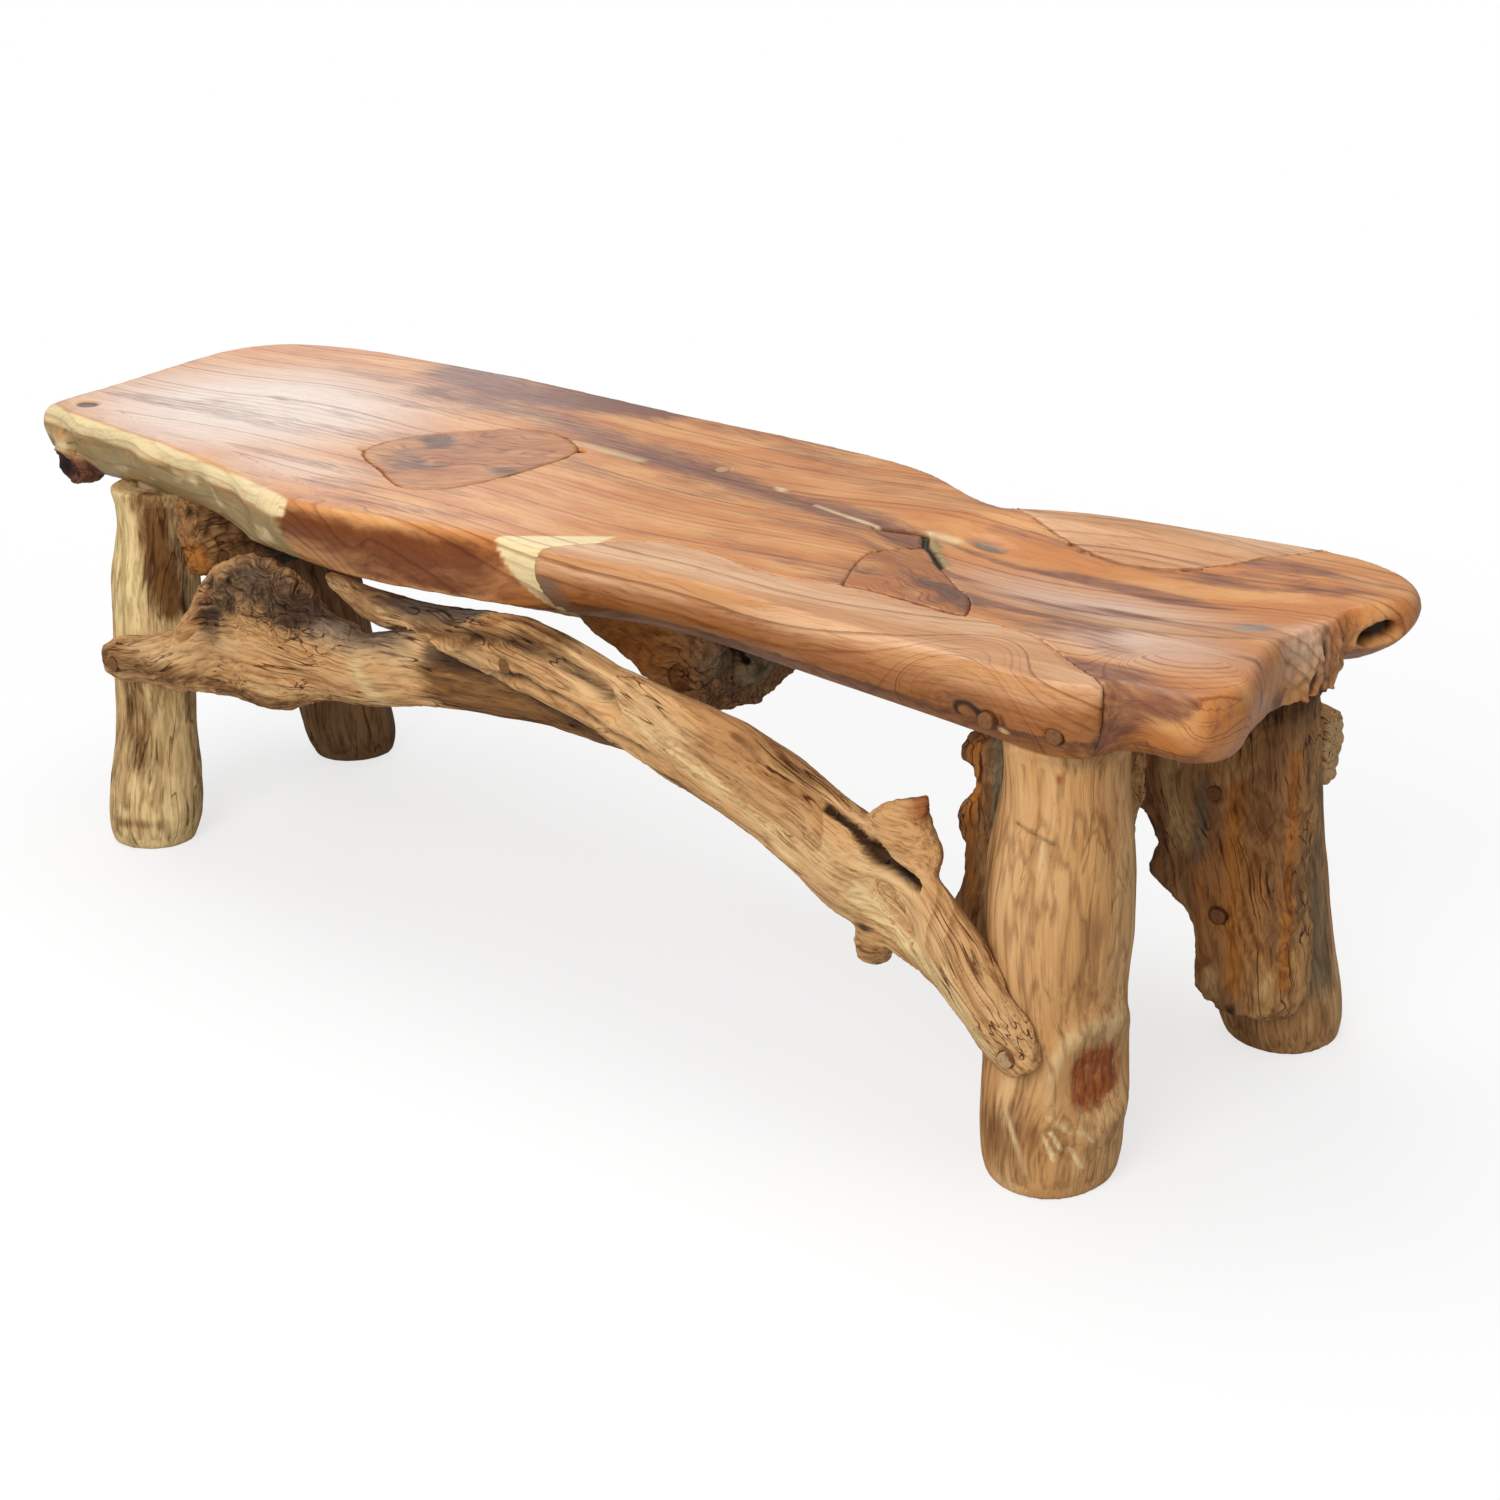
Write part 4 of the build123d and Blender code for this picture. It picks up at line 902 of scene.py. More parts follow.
class BENCH_OT_edge_boards(bpy.types.Operator):
    """Build the two edge boards, rounded over and marked by long growth lines."""

    bl_idname = "bench.edge_boards"
    bl_label = "Edge boards"

    def execute(self, context):
        size = context.scene.bench_wood
        for node in ("front_edge_board", "rear_edge_board"):
            board, points, held, seam = ready(node + "_wood", node, 3.0 * MM, 5, ["seat_slab"])
            x, y, z = points.T
            front = node == "front_edge_board"
            # The rings follow the rounded edge, so the lines run along the board.
            edge = -0.205 - 0.09 * unit(x - 0.10) if front else 0.18
            rings = 0.55 * (y - edge) + 0.9 * z
            rings += 0.010 * np.sin(x * 9.0) + 0.004 * np.sin(x * 23.0)
            masks = {"seam": seam, "relief": 0.16 * (1 - held)}
            if front:
                past = x - CURL_KNOT[0] * MM
                offset = (points - np.array(CURL_KNOT) * MM) * (1.0, 0.6, 1.25)
                far = np.linalg.norm(offset, axis=1)
                pull = np.exp(-((far / 0.040) ** 2))
                rings = rings + pull * (0.9 * far - rings + 0.02 * past / 0.03)
                hook = np.abs(far - 0.0115 - 0.25 * past * (z > 0.40))
                curl = fade(hook, 0.0075) * down_to(z, 0.404, 0.008)
                worn = up_to(x, 0.085, 0.030) * up_to(z, 0.425, 0.014)
                # Painted shade: the board's lower rounding and underside are darkened.
                shade_below = 0.6 * down_to(z, 0.405, 0.03) * (z < 0.405)
                mark = unit(2 * spot(points, (551, -238, 409), (4.5, 30, 10)))
                glint = unit(2 * spot(points, (549, -238, 399), (9, 30, 5)))
                lay(masks, "dark", 0.9 * curl, 0.5 * pull, 0.55 * worn, shade_below)
                # The curl knot and the mark are darkened as hollows: partly the knot's own dark
                # colour, partly painted shade.
                lay(masks, "hollow", 0.75 * curl, 0.6 * mark)
                masks["grey"] = 0.45 * worn
                masks["pale"] = 0.7 * glint
                masks["red"] = 0.75 * up_to(z, 0.425, 0.02)
            weathered(
                board, node, "sanded_teak_edge_board",
                (np.stack([x, y + 0.9 * z, z * 0.7], 1), rings), masks,
                1.0 * MM, 20 * MM, 12.0, size.seed + 3,
            )
        return {"FINISHED"}


class BENCH_OT_inlays(bpy.types.Operator):
    """Build the two patches let into the seat."""

    bl_idname = "bench.inlays"
    bl_label = "Inlays"

    def execute(self, context):
        size = context.scene.bench_wood
        for node, turn in (("seat_inlay", 0.5), ("seat_round_patch", -0.35)):
            patch, points, held, seam = ready(
                node + "_wood", node, 2.8 * MM, 3, ("seat_slab", "front_edge_board")
            )
            x, y, z = points.T
            along = x * math.cos(turn) + y * math.sin(turn)
            across = y * math.cos(turn) - x * math.sin(turn) + 0.010 * np.sin(x * 30)
            swirl = ripple(points, 60, size.seed + 12, 2)
            masks = {
                "seam": seam,
                "relief": 0.06 * (1 - held),
                "red": 0.5 * spot(points, (-200, -30, 450), (80, 100, 50)),
                "dark": 1.2 * unit(swirl + 0.1),
                # The crack running on across the inlay is darkened as painted shade.
                "hollow": unit(1.6 * stroke(points, CRACK, 5.5)) * (z > 0.430),
            }
            growth = np.stack([along, across + 0.012 * swirl, z], 1), across + 0.035 * swirl
            weathered(
                patch, node, "sanded_teak_inlay", growth, masks,
                0.8 * MM, 16 * MM, 9.0, size.seed + 5,
            )
        return {"FINISHED"}


# Each leg: finish, slot and stains.
LEG_LOOKS = {
    "front_left_leg": ("peeled_teak_sapwood_log", "leg_log_pale", {
        "pale": (
            (((-548, -180, 360), (-540, -180, 300), (-535, -180, 250)), 34, 0.95),
            ((-560, -190, 45), (80, 80, 35), 0.25),
        ),
        # The first brown band and the dark band down the log's right side are partly bark stain
        # and partly painted shade on its unlit side.
        "brown": (
            (((-513, -160, 380), (-505, -150, 270)), 34, 0.95),
            (((-570, -195, 180), (-565, -195, 80)), 30, 0.6),
            (((-530, -190, 190), (-525, -190, 100)), 40, 0.7),
            ((-540, -180, 30), (50, 60, 12), 0.8),
            ((-590, -170, 370), (40, 60, 50), 0.5),
            (((-585, -190, 160), (-582, -190, 70)), 16, 0.9),
            (((-548, -200, 120), (-546, -200, 50)), 12, 0.8),
        ),
        "dark": ((((-500, -135, 380), (-498, -135, 260)), 24, 0.5),),
    }),
    "rear_left_leg": ("weathered_teak_log", "leg_log_dark", {
        "red": (((-560, 110, 100), (50, 70, 120), 0.5),),
        "dark": ((((-545, 115, 140), (-545, 115, 20)), 12, 0.9),),
    }),
    "front_right_leg": ("shaved_teak_log", "leg_log_tan", {
        "brown": (
            (((520, -200, 360), (515, -200, 160)), 30, 0.65),
            ((560, -220, 50), (80, 70, 60), 0.7),
        ),
        # The dark patch at the log's top is painted shade under the seat.
        "dark": (((595, -200, 378), (50, 60, 20), 0.55),),
        "red": (((590, -215, 364), (7, 30, 10), 0.8),),
        "pale": (
            (((597, -222, 80), (612, -212, 66), (622, -195, 62)), 6, 0.7),
            (((592, -222, 64), (603, -220, 40)), 3.4, 1.5),
            (((599, -221, 66), (607, -216, 50)), 3, 1.5),
            (((612, -210, 50), (618, -200, 30)), 3.4, 1.5),
            (((620, -196, 56), (626, -186, 48)), 3, 1.4),
            (((560, -228, 75), (575, -228, 45), (580, -226, 25)), 6, 0.8),
            (((545, -224, 320), (545, -224, 160)), 6, 0.55),
            (((580, -224, 370), (585, -222, 200)), 6, 0.55),
        ),
    }),
    "rear_right_leg": ("shaved_teak_log", "leg_log_tan", {
        "brown": ((((620, 130, 360), (610, 130, 20)), 100, 0.75),),
        "grey": ((((660, 140, 300), (660, 140, 80)), 50, 0.8),),
        "dark": (((600, 120, 55), (60, 60, 30), 0.6),),
    }),
}
LEG_KNOT = (622, -190, 106)
LEG_DENT = ((557, -221, 322), (572, -221, 319), (589, -219, 313))


class BENCH_OT_legs(bpy.types.Operator):
    """Build the four peeled logs with their ripples, knots and stains."""

    bl_idname = "bench.legs"
    bl_label = "Log legs"

    def execute(self, context):
        size = context.scene.bench_wood
        for place, (node, (finish, slot, stains)) in enumerate(LEG_LOOKS.items()):
            log, points, *_ = ready(node + "_log", node, size.branch_voxel, 3)
            x, _, z = points.T
            normals = points_of(log, "normal")
            grain = along_growth(points, 2)
            rings = np.hypot(grain[:, 1], grain[:, 2]) + 0.35 * grain[:, 1]
            masks = stained(points, stains)
            # The log dents and swells a little, but stands flat on the ground.
            clear = unit(z / 0.012) * unit((0.383 - z) / 0.012)
            dent = 0.0022 * ripple(points, 75, size.seed + place, 2)
            if node == "front_left_leg":
                bark = ripple(points * (1, 1, 0.4), 30, size.seed + 40 + place, 3)
                dent += 0.0016 * bark
                lay(masks, "brown", 0.45 * unit(bark * 2 - 0.1))
            if node == "front_right_leg":
                offset = (points / MM - LEG_KNOT) * (1.0, 0.45, 0.62) / 23
                far = np.linalg.norm(offset, axis=1)
                core, rim = fade(far, 1.15), np.exp(-(((far - 1.30) / 0.34) ** 2))
                swirl = ripple(points, 12, size.seed + 9, 3)
                rings = rings + np.exp(-((far / 1.9) ** 2)) * (0.045 * far + 0.012 * swirl - rings)
                grain[:, 1] += 0.020 * np.exp(-((far / 1.6) ** 2))
                upper = np.clip(0.45 + 14 * (z - x - (LEG_KNOT[2] - LEG_KNOT[0]) * MM), 0.05, 1)
                split = unit(1.5 * stroke(points, LEG_DENT, 5))
                ledge = stroke(points - (0, 0, -0.004), LEG_DENT, 5)
                dent += 0.0045 * rim - core * (0.0045 - 0.002 * swirl)
                dent += 0.002 * split - 0.0035 * ledge
                lay(masks, "pale", 0.50 * rim * upper)
                lay(masks, "red", unit(2.5 * fade(far, 1.05)) * (0.85 + 0.5 * swirl))
                lay(masks, "dark", 0.8 * core * unit(2 * swirl + 0.2))
                # The sunk knot core and the split are darkened as painted shade.
                lay(masks, "hollow", 0.75 * core * unit(swirl + 0.05), 0.45 * split)
            set_points(log, points + normals * (dent * clear)[:, None])
            masks["relief"] = clear * (np.abs(normals[:, 2]) <= 0.8)
            weathered(
                log, node, finish, (grain, rings), masks, size.log_groove,
                size.groove_spacing, 10.0, size.seed + place,
            )
        return {"FINISHED"}


# Folds of the branches: line along the fold, its width and how deep it is pressed.
BRACE_FOLDS = (
    (((-110, -205, 318), (-84, -205, 330), (-12, -221, 355), (42, -228, 366), (103, -232, 362),
     (158, -240, 345), (172, -242, 332)), 12, 9.5),
    (((3, -214, 320), (60, -230, 333), (115, -236, 325), (164, -239, 313),
     (199, -241, 303)), 10, 8),
    (((200, -244, 352), (270, -246, 338), (341, -245, 315)), 6, 2),
    (((341, -245, 315), (375, -244, 305), (416, -239, 294), (428, -243, 283)), 6, 5.5),
    (((100, -236, 330), (200, -246, 305), (300, -250, 275), (360, -252, 245)), 12, 2.5),
)
STRETCHER_FOLDS = (
    (((-560, -215, 225), (-480, -222, 222), (-380, -226, 226)), 7, 4),
    (((-450, -218, 245), (-360, -226, 262), (-250, -222, 262)), 8, 2.5),
    (((-370, -222, 300), (-400, -220, 276), (-425, -218, 262)), 10, 8),
    (((-240, -212, 300), (-160, -208, 285), (-60, -203, 292)), 10, 4),
)
BRACE_SLOT = ((436, -244, 277), (448, -245, 268), (462, -246, 261), (476, -246, 256))
SLOT_LEAD = ((392, -243, 300), (416, -240, 292), (424, -242, 285), (440, -244, 275))
# Each branch: folds and stains.
BRANCH_LOOKS = {
    "front_left_stretcher": (STRETCHER_FOLDS, {
        "dark": (
            (((-360, -210, 300), (-320, -210, 345), (-250, -210, 330)), 50, 0.85),
            (((-80, -200, 318), (0, -200, 318), (100, -190, 290), (200, -190, 270)), 26, 0.8),
        ),
        "grey": ((((-300, -210, 350), (-220, -200, 318), (-120, -190, 318)), 40, 0.8),),
        "brown": (
            (((-560, -210, 220), (-400, -220, 225), (-200, -210, 230)), 30, 0.75),
            (((-60, -200, 300), (60, -190, 270), (200, -190, 260)), 60, 1.2),
        ),
        "pale": (
            (((-170, -210, 290), (-140, -210, 250)), 22, 0.75),
            (((-300, -230, 250), (-220, -220, 240)), 16, 0.5),
        ),
        "red": ((((-400, -220, 295), (-360, -220, 330)), 18, 0.45),),
    }),
    "front_arch_brace": (BRACE_FOLDS, {
        "grey": ((((-200, -190, 370), (-100, -190, 360), (-20, -200, 372)), 35, 0.85),),
        "brown": (
            (((-200, -190, 360), (-20, -210, 350), (100, -220, 375)), 30, 0.75),
            (((80, -210, 300), (160, -220, 280), (240, -230, 250)), 22, 0.8),
            (((300, -235, 335), (360, -235, 320), (420, -235, 315)), 16, 0.7),
            ((435, -240, 185), (30, 40, 30), 0.7),
            (((500, -230, 240), (560, -225, 150)), 8, 0.5),
        ),
        "dark": (
            (((-20, -220, 352), (42, -228, 364), (103, -232, 360), (160, -240, 343)), 10, 0.55),
            (((3, -214, 320), (60, -230, 333), (115, -236, 325), (199, -241, 303)), 9, 0.7),
        ),
        "pale": (
            (((200, -250, 325), (300, -250, 285), (360, -250, 250)), 22, 0.65),
            (((430, -250, 235), (500, -250, 190), (550, -250, 130)), 24, 0.85),
        ),
        "red": (((478, -230, 318), (30, 40, 30), 0.85),),
    }),
    "rear_stretcher": ((), {
        "pale": (((640, 190, 270), (30, 80, 80), 1),),
    }),
}


def carve_slot(points, push, masks):
    """Press the brace's torn slot, and the split that leads to it, into push and masks."""
    carved = unit(2.2 * stroke(points, BRACE_SLOT, 9.5))
    led = unit(2.0 * stroke(points, SLOT_LEAD, 5.5))
    push -= 0.012 * carved + 0.005 * led * (1 - carved)
    lay(masks, "grey", spot(points, (466, -240, 258), (16, 20, 8)))
    lay(masks, "pale", 0.7 * stroke(points, BRACE_SLOT, 22) * (1 - carved))
    # Painted shade darkens the slot, the split leading to it and the spot below it.
    shade_below = spot(points, (432, -235, 206), (22, 30, 8))
    lay(masks, "hollow", 0.80 * carved, 0.80 * led, shade_below)


class BENCH_OT_branches(bpy.types.Operator):
    """Build the stretchers and the arched brace, furrowed along their own line."""

    bl_idname = "bench.branches"
    bl_label = "Branches"

    def execute(self, context):
        size = context.scene.bench_wood
        for place, (node, (folds, stains)) in enumerate(BRANCH_LOOKS.items()):
            branch, points, *_ = ready(node + "_branch", node, size.branch_voxel, 4)
            grain = along_growth(points, 0)
            # The wood twists as it grows, so its furrows wind round the branch.
            twist = 1.6 * grain[:, 0]
            side, rise = grain[:, 1].copy(), grain[:, 2].copy()
            grain[:, 1] = side * np.cos(twist) - rise * np.sin(twist)
            grain[:, 2] = side * np.sin(twist) + rise * np.cos(twist)
            rings = np.hypot(grain[:, 1], grain[:, 2]) + 0.5 * grain[:, 1]
            masks = stained(points, stains)
            if node == "front_arch_brace":
                # The solid's plain slot is filled, to be carved again as a torn one.
                filled = unit(3 * spot(points, (463, -243, 234), (36, 50, 36)))
                points = smooth(points, branch, 300, share=filled)
                set_points(branch, points)
            normals = points_of(branch, "normal")
            push = 0.0030 * ripple(points, 85, size.seed + 10 * place, 2)
            for line, width, depth in folds:
                fold = stroke(points, line, width)
                brow = 0.35 * (stroke(points, line, width * 2.2) - fold)
                push += depth * MM * (brow - fold ** 1.5)
                # The bottoms of the folds are darkened as painted shade.
                lay(masks, "hollow", 0.45 * unit(depth / 7) * unit(2.5 * fold - 1.5))
            if node == "front_left_stretcher":
                burl = spot(points, (-300, -205, 335), (120, 90, 60))
                gnarl = ripple(points, 28, size.seed + 4, 4)
                swirl = 1 - 2.6 * np.abs(ripple(points, 34, size.seed + 6, 2))
                push += burl * (0.0060 * gnarl + 0.0035 * swirl)
                rings = rings + burl * (0.035 * swirl - rings)
                grain[:, 1] += burl * 0.020 * swirl
                # Dents in the burl are darkened as painted shade.
                lay(masks, "hollow", 1.9 * burl * unit(-gnarl - 0.10))
                lay(masks, "brown", 0.5 * burl * unit(swirl))
            if node == "front_arch_brace":
                rings = rings + 0.018 * stroke(points, BRACE_SLOT, 60)
                carve_slot(points, push, masks)
            if node == "rear_stretcher":
                tick = unit(3 * ripple(points * (1, 1, 4), 50, 3, 2) - 0.5)
                masks["hollow"] = 0.7 * tick * (points[:, 2] < 0.285) * (points[:, 0] > 0.60)
            masks["relief"] = np.full(len(points), 0.95)
            set_points(branch, points + normals * push[:, None])
            weathered(
                branch, node, "weathered_teak_branch", (grain, rings), masks,
                size.branch_groove, size.groove_spacing, 9.0, size.seed + place,
            )
        return {"FINISHED"}


# Each root: axis its growth follows, and stains.
ROOT_LOOKS = {
    "left_end_root": (1, {
        # The whole root is darkened as painted shade under the seat.
        "dark": (((-480, 30, 340), (160, 180, 140), 1.6),),
        "red": (((-482, -142, 315), (36, 34, 30), 2.2),),
        "pale": (((-502, -150, 318), (10, 30, 30), 0.9),),
    }),
    "centre_root_block": (0, {
        "red": (((40, -60, 320), (95, 140, 90), 1),),
        "grey": (((150, 0, 320), (55, 200, 100), 0.9),),
        "brown": (((130, -30, 280), (50, 100, 50), 0.6),),
        # The dark band along its top is painted shade under the seat.
        "dark": (((20, -90, 380), (160, 120, 30), 0.8),),
    }),
    "front_right_root_bracket": (2, {
        "red": ((((458, -120, 330), (452, -120, 260), (458, -120, 200)), 16, 0.95),),
        "grey": ((((485, -120, 360), (480, -120, 280), (488, -120, 200)), 22, 0.85),),
        "pale": ((((476, -120, 310), (474, -120, 220)), 10, 0.6),),
        # The dark band along its top is painted shade under the seat.
        "dark": (((450, -100, 365), (60, 80, 25), 0.7),),
    }),
    "rear_right_root_panel": (2, {
        "pale": (
            (((540, 50, 310), (548, 50, 250), (556, 50, 210)), 26, 0.8),
            (((590, 50, 95), (598, 50, 70)), 14, 0.75),
            (((640, 50, 90), (650, 50, 110)), 12, 0.6),
        ),
        "red": (
            (((605, 50, 270), (607, 50, 160), (615, 50, 90)), 20, 0.95),
            (((655, 60, 310), (660, 60, 200), (658, 60, 100)), 14, 1),
            (((575, 50, 200), (580, 50, 100)), 14, 0.7),
            ((610, 50, 170), (80, 80, 160), 0.55),
        ),
        "grey": (
            (((575, 50, 270), (572, 50, 200)), 16, 0.7),
            (((640, 50, 220), (645, 50, 130)), 12, 0.35),
        ),
        # The broad dark patch at its top is painted shade under the seat.
        "dark": (
            ((620, 50, 360), (120, 100, 50), 0.8),
            ((613, 50, 66), (10, 50, 14), 0.9),
        ),
    }),
}


class BENCH_OT_roots(bpy.types.Operator):
    """Build the root wood with its folds, torn ends and hollows."""

    bl_idname = "bench.roots"
    bl_label = "Root wood"

    def execute(self, context):
        size = context.scene.bench_wood
        for place, (node, (axis, stains)) in enumerate(ROOT_LOOKS.items()):
            root, points, *_ = ready(node + "_root", node, size.branch_voxel, 5)
            normals = points_of(root, "normal")
            grain = along_growth(points, axis)
            gnarl = ripple(points, 45, size.seed + 20 + place, 4)
            fine = 1 - 2.6 * np.abs(ripple(points, 20, size.seed + 30 + place, 2))
            masks = stained(points, stains)
            torn = np.ones(len(points))
            if node == "centre_root_block":
                torn = 0.6 + 1.1 * spot(points, (160, 0, 310), (70, 200, 120))
            if node == "rear_right_root_panel":
                torn = torn * 0.7
            clear = unit((UNDERSIDE - 0.002 - points[:, 2]) / 0.01)
            push = torn * (0.0050 * gnarl + 0.0022 * fine) * clear
            # Dents are darkened as painted shade.
            masks["hollow"] = 1.4 * torn ** 3 * unit(-gnarl - 0.25)
            masks["relief"] = clear
            set_points(root, points + normals * push[:, None])
            rings = grain[:, 1] + 0.7 * grain[:, 2] + 0.020 * gnarl
            weathered(
                root, node, "weathered_teak_root", (grain, rings), masks,
                size.root_groove * 0.6, size.groove_spacing * 1.2, 5.0, size.seed + place,
            )
        return {"FINISHED"}


PALE_PLUGS = ((37, 79, 450), (554, -235, 118))
PLUG_RADIUS = 6.85 * MM
PLUG_SIDES = 28


def plug_places(node):
    """Middle, direction and height of each plug in a node, from its caps' area."""
    shape = merged([node])
    waiting, places = set(shape.verts), []
    while waiting:
        group, fresh = set(), {waiting.pop()}
        while fresh:
            group |= fresh
            fresh = {e.other_vert(v) for v in fresh for e in v.link_edges} - group
        waiting -= group
        faces = {f for v in group for f in v.link_faces}
        spread = sum(f.calc_area() * np.outer(f.normal, f.normal) for f in faces)
        way = np.linalg.eigh(spread)[1][:, -1]
        corners = np.array([v.co for v in group])
        places.append((corners.mean(0), way, np.ptp(corners @ way)))
    shape.free()
    return places


def plug_form(radius, height):
    """A turned plug, eased at both rims, with faces all round."""
    ease, half = 0.12 * radius, height / 2
    profile = (
        (radius - ease, -half), (radius, -half + ease), (radius, half - ease),
        (radius - ease, half), (0.5 * radius, half + 0.2 * ease),
    )
    turns = [2 * math.pi * k / PLUG_SIDES for k in range(PLUG_SIDES)]
    shape = bmesh.new()
    rings = [
        [shape.verts.new((r * math.cos(turn), r * math.sin(turn), z)) for turn in turns]
        for r, z in profile
    ]
    for low, high in zip(rings, rings[1:]):
        for k in range(PLUG_SIDES):
            after = (k + 1) % PLUG_SIDES
            shape.faces.new((low[k], low[after], high[after], high[k]))
    shape.faces.new(reversed(rings[0]))
    shape.faces.new(rings[-1])
    form = as_object(shape, "plug_form")
    store(form, "grain", points_of(form) * (1, 1, 0.3))
    return form


class BENCH_OT_plugs(bpy.types.Operator):
    """Set a turned plug over each screw."""

    bl_idname = "bench.plugs"
    bl_label = "Plugs"

    def execute(self, context):
        finish = "turned_hardwood"
        for node in ("frame_plugs", "seat_plugs"):
            middles, ways, heights = zip(*plug_places(node))
            mesh = bpy.data.meshes.new(node + "_turned")
            mesh.from_pydata([tuple(middle) for middle in middles], [], [])
            plugs = link(node + "_turned", mesh)
            store(plugs, "way", ways)
            form = plug_form(PLUG_RADIUS, float(np.mean(heights)))
            grow(plugs, PLUGS, plug=form, seed=3, material=finish_named(finish))
            bpy.data.objects.remove(form)
            # Most plugs have taken the tone of the wood round them; two are still pale.
            corners = points_of(plugs)
            pale = np.maximum(*(spot(corners, place, (30, 30, 30)) for place in PALE_PLUGS))
            store(plugs, "brown", 0.9 * (pale == 0))
            for face in plugs.data.polygons:
                face.use_smooth = False
            dressed(plugs, node, finish)
        return {"FINISHED"}


class BENCH_OT_hidden(bpy.types.Operator):
    """Give the hidden screws and dowels their finish."""

    bl_idname = "bench.hidden"
    bl_label = "Screws and dowels"

    def execute(self, context):
        steel, hardwood = zinc_steel(), finish_named("turned_hardwood")
        for node, material in (
            ("frame_screws", steel), ("seat_screws", steel), ("leg_dowels", hardwood),
            ("edge_board_dowels", hardwood),
        ):
            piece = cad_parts[node]
            piece.data.materials.clear()
            piece.data.materials.append(material)
        return {"FINISHED"}


# ------------------------------------------------------------------ stage
WHITE = (1, 1, 1, 1)
FLOOR_REACH = 30  # from the middle of the floor to its edges
# Each light in metres: name, place, what it points at, width and its share of the
# overhead's power.
LIGHTS = (
    ("front", (0.8, -2.7, 1.8), (0.1, 0, 0.25), 1.8, 1.9),
    ("overhead", (-0.5, 0.3, 2.7), (0.0, 0, 0.40), 2.2, 1.0),
    ("window", (-2.5, 1.9, 1.25), (-0.45, 0, 0.45), 1.1, 0.12),
)
CAMERA_PLACE = (1.50995, -1.79347, 1.10362)
CAMERA_TURN = (37.57484, 21.52344, -0.18999)  # yaw, pitch and roll in degrees


def white_paper(stage):
    """Matt paper: takes the bench's soft shadow near it and is plain white further out."""
    material = bpy.data.materials.new("matt_white_paper")
    add = fresh_tree(material)
    place = add("ShaderNodeTexCoord").outputs["Object"]
    far = add(VECTOR_MATHS, place, operation="LENGTH")
    outer = add(RANGE, far, 0.75, 1.7, stage.paper_glow, 1.0, **SOFT)
    seen = add("ShaderNodeLightPath").outputs["Is Camera Ray"]
    glow = add(MATHS, outer, seen, **TIMES)
    tone = add(MIX, seen, linear("#B4B1AD"), tuple(stage.floor), **OF_COLOURS)
    paper = add("ShaderNodeBsdfDiffuse", tone)
    white = add("ShaderNodeEmission", WHITE, 1.0)
    add("ShaderNodeOutputMaterial", add("ShaderNodeMixShader", glow, paper, white))
    return material


def studio_world(stage):
    """Even light from all round, seen as plain white."""
    world = bpy.data.worlds.new("plain_studio")
    add = fresh_tree(world)
    seen = add("ShaderNodeLightPath").outputs["Is Camera Ray"]
    plain = add("ShaderNodeBackground", WHITE, stage.room_light)
    white = add("ShaderNodeBackground", WHITE, 1.0)
    add("ShaderNodeOutputWorld", add("ShaderNodeMixShader", seen, plain, white))
    return world


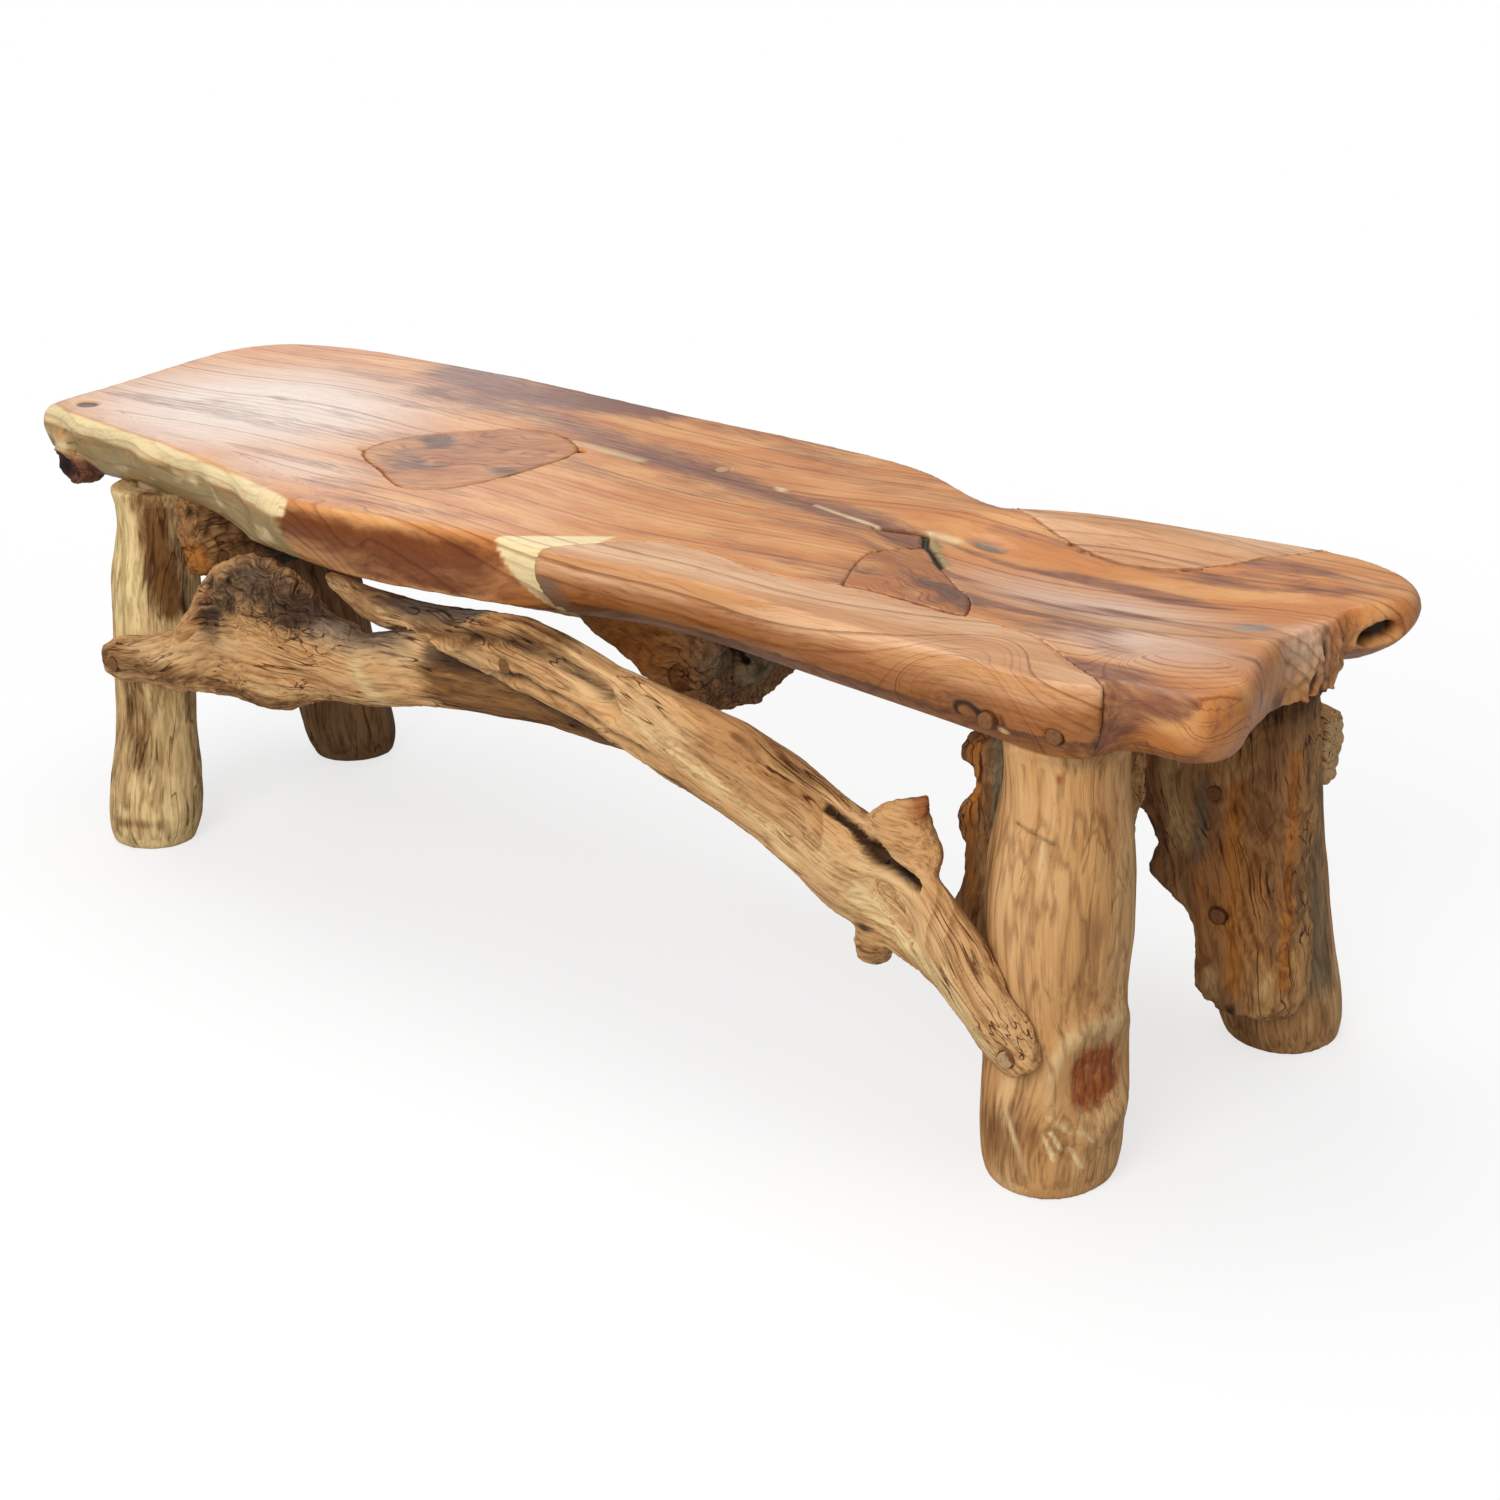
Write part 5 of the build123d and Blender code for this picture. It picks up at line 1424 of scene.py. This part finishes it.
class BENCH_OT_stage(bpy.types.Operator):
    """Lay the pale floor, hang the soft lights and set up the camera."""

    bl_idname = "bench.stage"
    bl_label = "Stage"

    def execute(self, context):
        stage = context.scene.bench_stage
        far = FLOOR_REACH
        mesh = bpy.data.meshes.new("floor")
        mesh.from_pydata(
            [(-far, -far, 0), (far, -far, 0), (far, far, 0), (-far, far, 0)], [], [(0, 1, 2, 3)]
        )
        floor = link("floor", mesh)
        floor.data.materials.append(white_paper(stage))
        context.scene.world = studio_world(stage)
        for name, place, aim, width, share in LIGHTS:
            lamp = bpy.data.lights.new(name, "AREA")
            lamp.size = width
            lamp.energy = stage.key_power * share
            light = link(name, lamp)
            light.location = place
            way = Vector(aim) - Vector(place)
            light.rotation_euler = way.to_track_quat("-Z", "Y").to_euler()
            light.visible_camera = False
            # The front light fills without a glare on the oiled top.
            light.visible_glossy = name != "front"

        camera = bpy.data.cameras.new("camera")
        camera.lens = stage.lens
        camera.sensor_width = 36.0
        camera.clip_end = 100.0
        viewer = link("camera", camera)
        yaw, pitch, roll = [math.radians(angle) for angle in CAMERA_TURN]
        right = Vector((math.cos(yaw), math.sin(yaw), 0.0))
        ahead = Vector((-right.y * math.cos(pitch), right.x * math.cos(pitch), -math.sin(pitch)))
        up = right.cross(ahead)
        right, up = (
            math.cos(roll) * right + math.sin(roll) * up,
            math.cos(roll) * up - math.sin(roll) * right,
        )
        turn = Matrix((right, up, -ahead)).transposed()
        viewer.matrix_world = Matrix.Translation(CAMERA_PLACE) @ turn.to_4x4()
        context.scene.camera = viewer
        context.scene.view_settings.view_transform = "Standard"
        return {"FINISHED"}


# ------------------------------------------------------------------ panel and run
STEPS = (
    BENCH_OT_seat, BENCH_OT_edge_boards, BENCH_OT_inlays, BENCH_OT_legs, BENCH_OT_branches,
    BENCH_OT_roots, BENCH_OT_plugs, BENCH_OT_hidden, BENCH_OT_stage,
)


class BENCH_PT_panel(bpy.types.Panel):
    """Sizes, colours and the steps that build the bench."""

    bl_idname = "BENCH_PT_panel"
    bl_label = "Rustic Log Bench"
    bl_space_type = "VIEW_3D"
    bl_region_type = "UI"
    bl_category = "Bench"

    def draw(self, context):
        for settings in (context.scene.bench_wood, context.scene.bench_stage):
            for name in settings.bl_rna.properties.keys():
                if name not in ("rna_type", "name"):
                    self.layout.prop(settings, name)
        for step in STEPS:
            self.layout.operator(step.bl_idname)


CLASSES = (BenchWoodSettings, BenchStageSettings, *STEPS, BENCH_PT_panel)


def register():
    for cls in CLASSES:
        bpy.utils.register_class(cls)
    bpy.types.Scene.bench_wood = PointerProperty(type=BenchWoodSettings)
    bpy.types.Scene.bench_stage = PointerProperty(type=BenchStageSettings)


def unregister():
    del bpy.types.Scene.bench_stage
    del bpy.types.Scene.bench_wood
    for cls in reversed(CLASSES):
        bpy.utils.unregister_class(cls)


def main():
    register()
    for step in STEPS:
        area, name = step.bl_idname.split(".")
        getattr(getattr(bpy.ops, area), name)()


if __name__ == "__main__":
    main()
